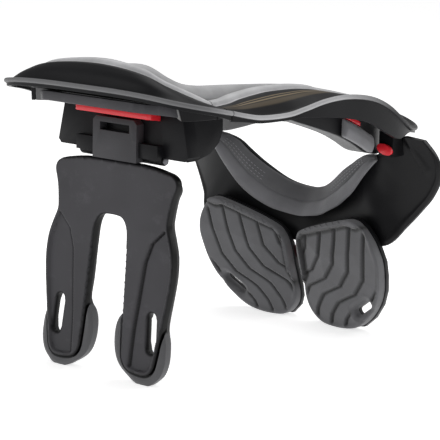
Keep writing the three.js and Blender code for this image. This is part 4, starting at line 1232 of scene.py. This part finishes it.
# Chest pads
class BRACE_OT_chest(bpy.types.Operator):
    """Make the ribbed chest pads and the plates behind them"""

    bl_idname = "brace.chest"
    bl_label = "Chest pads"

    def execute(self, context):
        colour = colours()
        pad_finish = foam("chest_foam", colour.chest_foam)
        plate_finish = plastic("chest_plate_plastic", colour.black)
        for word, side in (("right", 1), ("left", -1)):
            outline = smooth_outline(np.array(CHEST_OUTLINE) * (side * CHEST_WIDTH, CHEST_HEIGHT), 4)
            slot = slot_outline(CHEST_SLOT) * (side, 1)
            pad = relief(
                f"{word}_chest_moulding", outline, [slot], sizes().rib_spacing, 2.0, self.pad_surface,
                groove_and_painted_shade=self.pad_painted_shade,
            )
            shade(pad, 42)
            finish_piece(pad, "front_collar", pad_finish, [f"{word}_chest_pad"])
            plate = cad_copy(f"{word}_chest_backing", f"{word}_chest_plate", 0.5)
            finish_piece(plate, "front_collar", plate_finish, [f"{word}_chest_plate"])
        return {"FINISHED"}

    def pad_surface(self, flat, rim, side):
        """Stepped, kinked ribs inside a raised rim that runs along the top and the inner edge."""
        x, z = np.abs(flat[:, 0]), flat[:, 1]
        face = CHEST_FACE_Y + CHEST_LEAN * z + CHEST_WRAP * x
        if side:
            return np.column_stack([flat[:, 0], face + CHEST_PAD_THICK, z])
        soft = 1.8 * (1 - np.sqrt(np.clip(1 - (1 - np.clip(rim / 2.0, 0, 1)) ** 2, 0, 1)))
        near = self.well_distance(x, z)
        well = np.clip((near - 3.2) / 1.0, 0, 1) * (1 - np.clip((near - 4.6) / 22, 0, 1))
        t = self.rib_phase(x, z)
        valley = np.clip(1 - np.minimum(t, 1 - t) / RIB_EDGE, 0, 1)
        ribs = RIB_SLOPE * (1 - t) * (1 - valley) + RIB_GROOVE * valley ** 0.7
        slot = distance_to(np.column_stack([x, z]), [slot_outline(CHEST_SLOT)])
        ribs *= np.clip((near - 3.0) / 1.6, 0, 1) * np.clip((rim - 1.5) / 2.5, 0, 1) * np.clip((slot - 2.0) / 4.0, 0, 1)
        dish = 2.6 * np.clip(1 - slot / 4.5, 0, 1)
        return np.column_stack([flat[:, 0], face + soft + ribs + 3.2 * well + dish, z])

    def rib_phase(self, x, z):
        """How far across its rib each point lies: 0 at one valley, 1 at the next."""
        lift = RIB_CLIMB * (0.55 * CHEST_WIDTH - x) / CHEST_HEIGHT * np.clip(z / 30, 0, 1)
        shift = np.interp(z / CHEST_HEIGHT - lift, RIB_HEIGHTS, RIB_SHIFTS) * CHEST_WIDTH
        phase = (x - shift - RIB_START + 2 * CHEST_WIDTH) / RIB_PITCH
        return phase - np.floor(phase)

    def well_distance(self, x, z):
        """Distance in from the raised rim along the top and the inner edge."""
        top_edge = np.interp(x / CHEST_WIDTH, (0.09, 0.16, 0.68, 0.80), (0.765, 0.83, 0.985, 0.97)) * CHEST_HEIGHT
        below_top = (top_edge - z) + 40 * np.clip(x / CHEST_WIDTH - 0.78, 0, 1)
        from_inner = (x - 0.058 * CHEST_WIDTH) + 60 * np.clip(0.42 - z / CHEST_HEIGHT, 0, 1)
        return np.minimum(below_top, from_inner)

    def pad_painted_shade(self, flat, rim):
        """Painted shade: dark in each rib's valley and just inside the rim."""
        x, z = np.abs(flat[:, 0]), flat[:, 1]
        t, near = self.rib_phase(x, z), self.well_distance(x, z)
        valley = np.clip(1.5 - 1.3 * np.minimum(t, 1 - t) / RIB_EDGE, 0, 1) * np.clip((near - 3.0) / 1.6, 0, 1)
        valley *= np.clip((rim - 1.5) / 2.5, 0, 1)
        inner = np.clip(1.5 - np.abs(near - 5.0) / 2.0, 0, 1)
        return np.clip(np.maximum(valley, inner), 0, 1) * 0.92


# Shoulder pads and the small red parts
class BRACE_OT_shoulders(bpy.types.Operator):
    """Dress the shoulder pads, the red strips and pins, and the breastbone link"""

    bl_idname = "brace.shoulders"
    bl_label = "Shoulder pads and red parts"

    def execute(self, context):
        colour = colours()
        red = plastic("red_plastic", colour.red, (0.22, 0.32), 1200.0, 0.00004, 1.15, 0.3, 0.4)
        pad_finish = foam("shoulder_foam", colour.lining)
        for word in ("right", "left"):
            pad = cad_copy(f"{word}_shoulder_cushion", f"{word}_shoulder_pad", 1.8, 4)
            finish_piece(pad, "front_collar", pad_finish, [f"{word}_shoulder_pad"])
            for label, node, edge in (("pin_cap", "red_pin", 0.5), ("strip_moulding", "red_strip", 0.5)):
                piece = cad_copy(f"{word}_{label}", f"{word}_{node}", edge)
                finish_piece(piece, "front_collar", red, [f"{word}_{node}"])
        link = cad_copy("link_moulding", "sternum_link", 0.5)
        finish_piece(link, "front_collar", red, ["sternum_link"])
        return {"FINISHED"}


# Repeated marks, made with Geometry Nodes
def dash_tree(name):
    """Geometry Nodes: small raised dashes set along a curve, at a named spacing and size."""
    tree = bpy.data.node_groups.new(name, "GeometryNodeTree")
    tree.interface.new_socket("Geometry", in_out="INPUT", socket_type="NodeSocketGeometry")
    for label, default in (("Spacing", 0.003), ("Length", 0.0035), ("Width", 0.0009), ("Height", 0.0006)):
        socket = tree.interface.new_socket(label, in_out="INPUT", socket_type="NodeSocketFloat")
        socket.default_value = default
    tree.interface.new_socket("Material", in_out="INPUT", socket_type="NodeSocketMaterial")
    tree.interface.new_socket("Geometry", in_out="OUTPUT", socket_type="NodeSocketGeometry")
    nodes, links = tree.nodes, tree.links
    source, sink = nodes.new("NodeGroupInput"), nodes.new("NodeGroupOutput")
    spread = nodes.new("GeometryNodeCurveToPoints")
    spread.mode = "LENGTH"
    links.new(source.outputs["Geometry"], spread.inputs["Curve"])
    links.new(source.outputs["Spacing"], spread.inputs["Length"])
    block = nodes.new("GeometryNodeMeshCube")
    size = nodes.new("ShaderNodeCombineXYZ")
    for label, axis in (("Length", "X"), ("Height", "Y"), ("Width", "Z")):
        links.new(source.outputs[label], size.inputs[axis])
    links.new(size.outputs[0], block.inputs["Size"])
    soft = nodes.new("GeometryNodeSubdivisionSurface")
    soft.inputs["Level"].default_value = 1
    links.new(block.outputs["Mesh"], soft.inputs["Mesh"])
    copies = nodes.new("GeometryNodeInstanceOnPoints")
    links.new(spread.outputs["Points"], copies.inputs["Points"])
    links.new(soft.outputs["Mesh"], copies.inputs["Instance"])
    links.new(spread.outputs["Rotation"], copies.inputs["Rotation"])
    real = nodes.new("GeometryNodeRealizeInstances")
    links.new(copies.outputs["Instances"], real.inputs["Geometry"])
    paint = nodes.new("GeometryNodeSetMaterial")
    links.new(real.outputs["Geometry"], paint.inputs["Geometry"])
    links.new(source.outputs["Material"], paint.inputs["Material"])
    links.new(paint.outputs["Geometry"], sink.inputs["Geometry"])
    return tree


def run_tree(name, curve_points, tree, values):
    """Runs a Geometry Nodes tree on polylines and returns its result as a plain mesh object."""
    curve = bpy.data.curves.new(name + "_path", "CURVE")
    curve.dimensions = "3D"
    for line in curve_points:
        spline = curve.splines.new("POLY")
        spline.points.add(len(line) - 1)
        for point, at in zip(spline.points, line):
            point.co = (*at, 1.0)
    carrier = new_object(name + "_path", curve)
    modifier = carrier.modifiers.new("marks", "NODES")
    modifier.node_group = tree
    for item in tree.interface.items_tree:
        if item.in_out == "INPUT" and item.name in values:
            modifier[item.identifier] = values[item.name]
    graph = bpy.context.evaluated_depsgraph_get()
    mesh = bpy.data.meshes.new_from_object(carrier.evaluated_get(graph))
    bpy.data.objects.remove(carrier)
    return new_object(name, mesh)


class BRACE_OT_marks(bpy.types.Operator):
    """Set the short raised dashes along the upper arms of the neck lining"""

    bl_idname = "brace.marks"
    bl_label = "Lining dashes"

    def execute(self, context):
        rows = smooth_rows(LINING_STATIONS, 6)
        scale = np.array([FRONT_HALF, COLLAR_DEPTH, CREST_HEIGHT])
        lines = []
        for side in (1, -1):
            for share in (0.16, 0.27, 0.38):
                picked = rows[(rows[:, 0] > 0.26) & (rows[:, 0] < 0.52)]
                line = picked[:, :3] * scale * (1 - share) + picked[:, 3:] * scale * share
                line[:, 0] *= side
                line[:, 1] -= 1.8 * math.sin(math.pi * share / 0.5) ** 0.7 + 0.1
                lines.append(place(line))
        material = foam("dash_foam", lighter(colours().lining, 1.5))
        values = {"Spacing": 0.0032, "Length": 0.0008, "Width": 0.0026, "Height": 0.0006, "Material": material}
        marks = run_tree("lining_dashes", lines, dash_tree("dashes"), values)
        shade(marks, 40)
        finish_piece(marks, "front_collar", material)
        return {"FINISHED"}


class BraceSizes(bpy.types.PropertyGroup):
    """Sizes that change how finely the brace is built and how it is lit"""

    ring_steps: IntProperty(
        name="Ring steps", description="Rows between two stations of the ring", default=6, min=2, max=16
    )
    relief_spacing: FloatProperty(
        name="Relief spacing", description="Millimetres between points of a moulded face", default=1.6, min=0.5, max=5.0
    )
    rib_spacing: FloatProperty(
        name="Rib spacing", description="Millimetres between points of a ribbed pad", default=0.9, min=0.5, max=5.0
    )
    room_light: FloatProperty(name="Room light", description="Strength of the studio's white room", default=0.4)
    floor_glow: FloatProperty(name="Floor glow", description="Light that the backdrop gives off", default=0.62)


def colour_property(name, description, default):
    """A colour setting."""
    return FloatVectorProperty(
        name=name, description=description, subtype="COLOR", size=3, default=default, min=0, max=1
    )

class BraceColours(bpy.types.PropertyGroup):
    """Colours of the brace's plastics and foams"""

    black: colour_property("Black plastic", "Decks, frames and housing", (0.006, 0.006, 0.007))
    charcoal: colour_property("Charcoal plastic", "Strut plate and base plate", (0.052, 0.051, 0.056))
    ring_foam: colour_property("Ring foam", "Pads inside the ring", (0.5, 0.5, 0.51))
    lining: colour_property("Lining foam", "Lower roll of the neck lining", (0.15, 0.15, 0.16))
    chest_foam: colour_property("Chest foam", "Ribbed chest pads", (0.088, 0.088, 0.094))
    dark_foam: colour_property("Dark foam", "Foam behind the strut", (0.075, 0.075, 0.08))
    red: colour_property("Red plastic", "Slide plate, pins, strips and link", (0.75, 0.02, 0.035))
    stripe: colour_property("Stripe", "Thin stripes on the side arms", (0.26, 0.20, 0.12))
    # The bead colour is a painted highlight along the deck's rim.
    bead: colour_property("Bead", "Rolled bead along the deck's rim", (0.42, 0.42, 0.43))

class BRACE_PT_panel(bpy.types.Panel):
    """Lists the sizes, the colours and the steps"""

    bl_idname = "BRACE_PT_panel"
    bl_label = "Neck brace"
    bl_space_type = "VIEW_3D"
    bl_region_type = "UI"
    bl_category = "Brace"

    def draw(self, context):
        for settings in (context.scene.brace_sizes, context.scene.brace_colours):
            for label in settings.__annotations__:
                self.layout.prop(settings, label)
        for step in STEPS:
            self.layout.operator(step.bl_idname)


STEPS = (
    BRACE_OT_stage,
    BRACE_OT_decks,
    BRACE_OT_ring_pads,
    BRACE_OT_rear_housing,
    BRACE_OT_strut,
    BRACE_OT_front_frame,
    BRACE_OT_lining,
    BRACE_OT_chest,
    BRACE_OT_shoulders,
    BRACE_OT_marks,
)
CLASSES = (BraceSizes, BraceColours, *STEPS, BRACE_PT_panel)


def register():
    """Registers the classes and their settings on the scene."""
    for one in CLASSES:
        bpy.utils.register_class(one)
    bpy.types.Scene.brace_sizes = PointerProperty(type=BraceSizes)
    bpy.types.Scene.brace_colours = PointerProperty(type=BraceColours)


def unregister():
    """Takes the settings and the classes away again."""
    del bpy.types.Scene.brace_colours
    del bpy.types.Scene.brace_sizes
    for one in reversed(CLASSES):
        bpy.utils.unregister_class(one)


def main():
    register()
    for step in STEPS:
        family, name = step.bl_idname.split(".")
        result = getattr(getattr(bpy.ops, family), name)()
        if result != {"FINISHED"}:
            raise RuntimeError(f"{step.bl_label} did not finish")


if __name__ == "__main__":
    main()
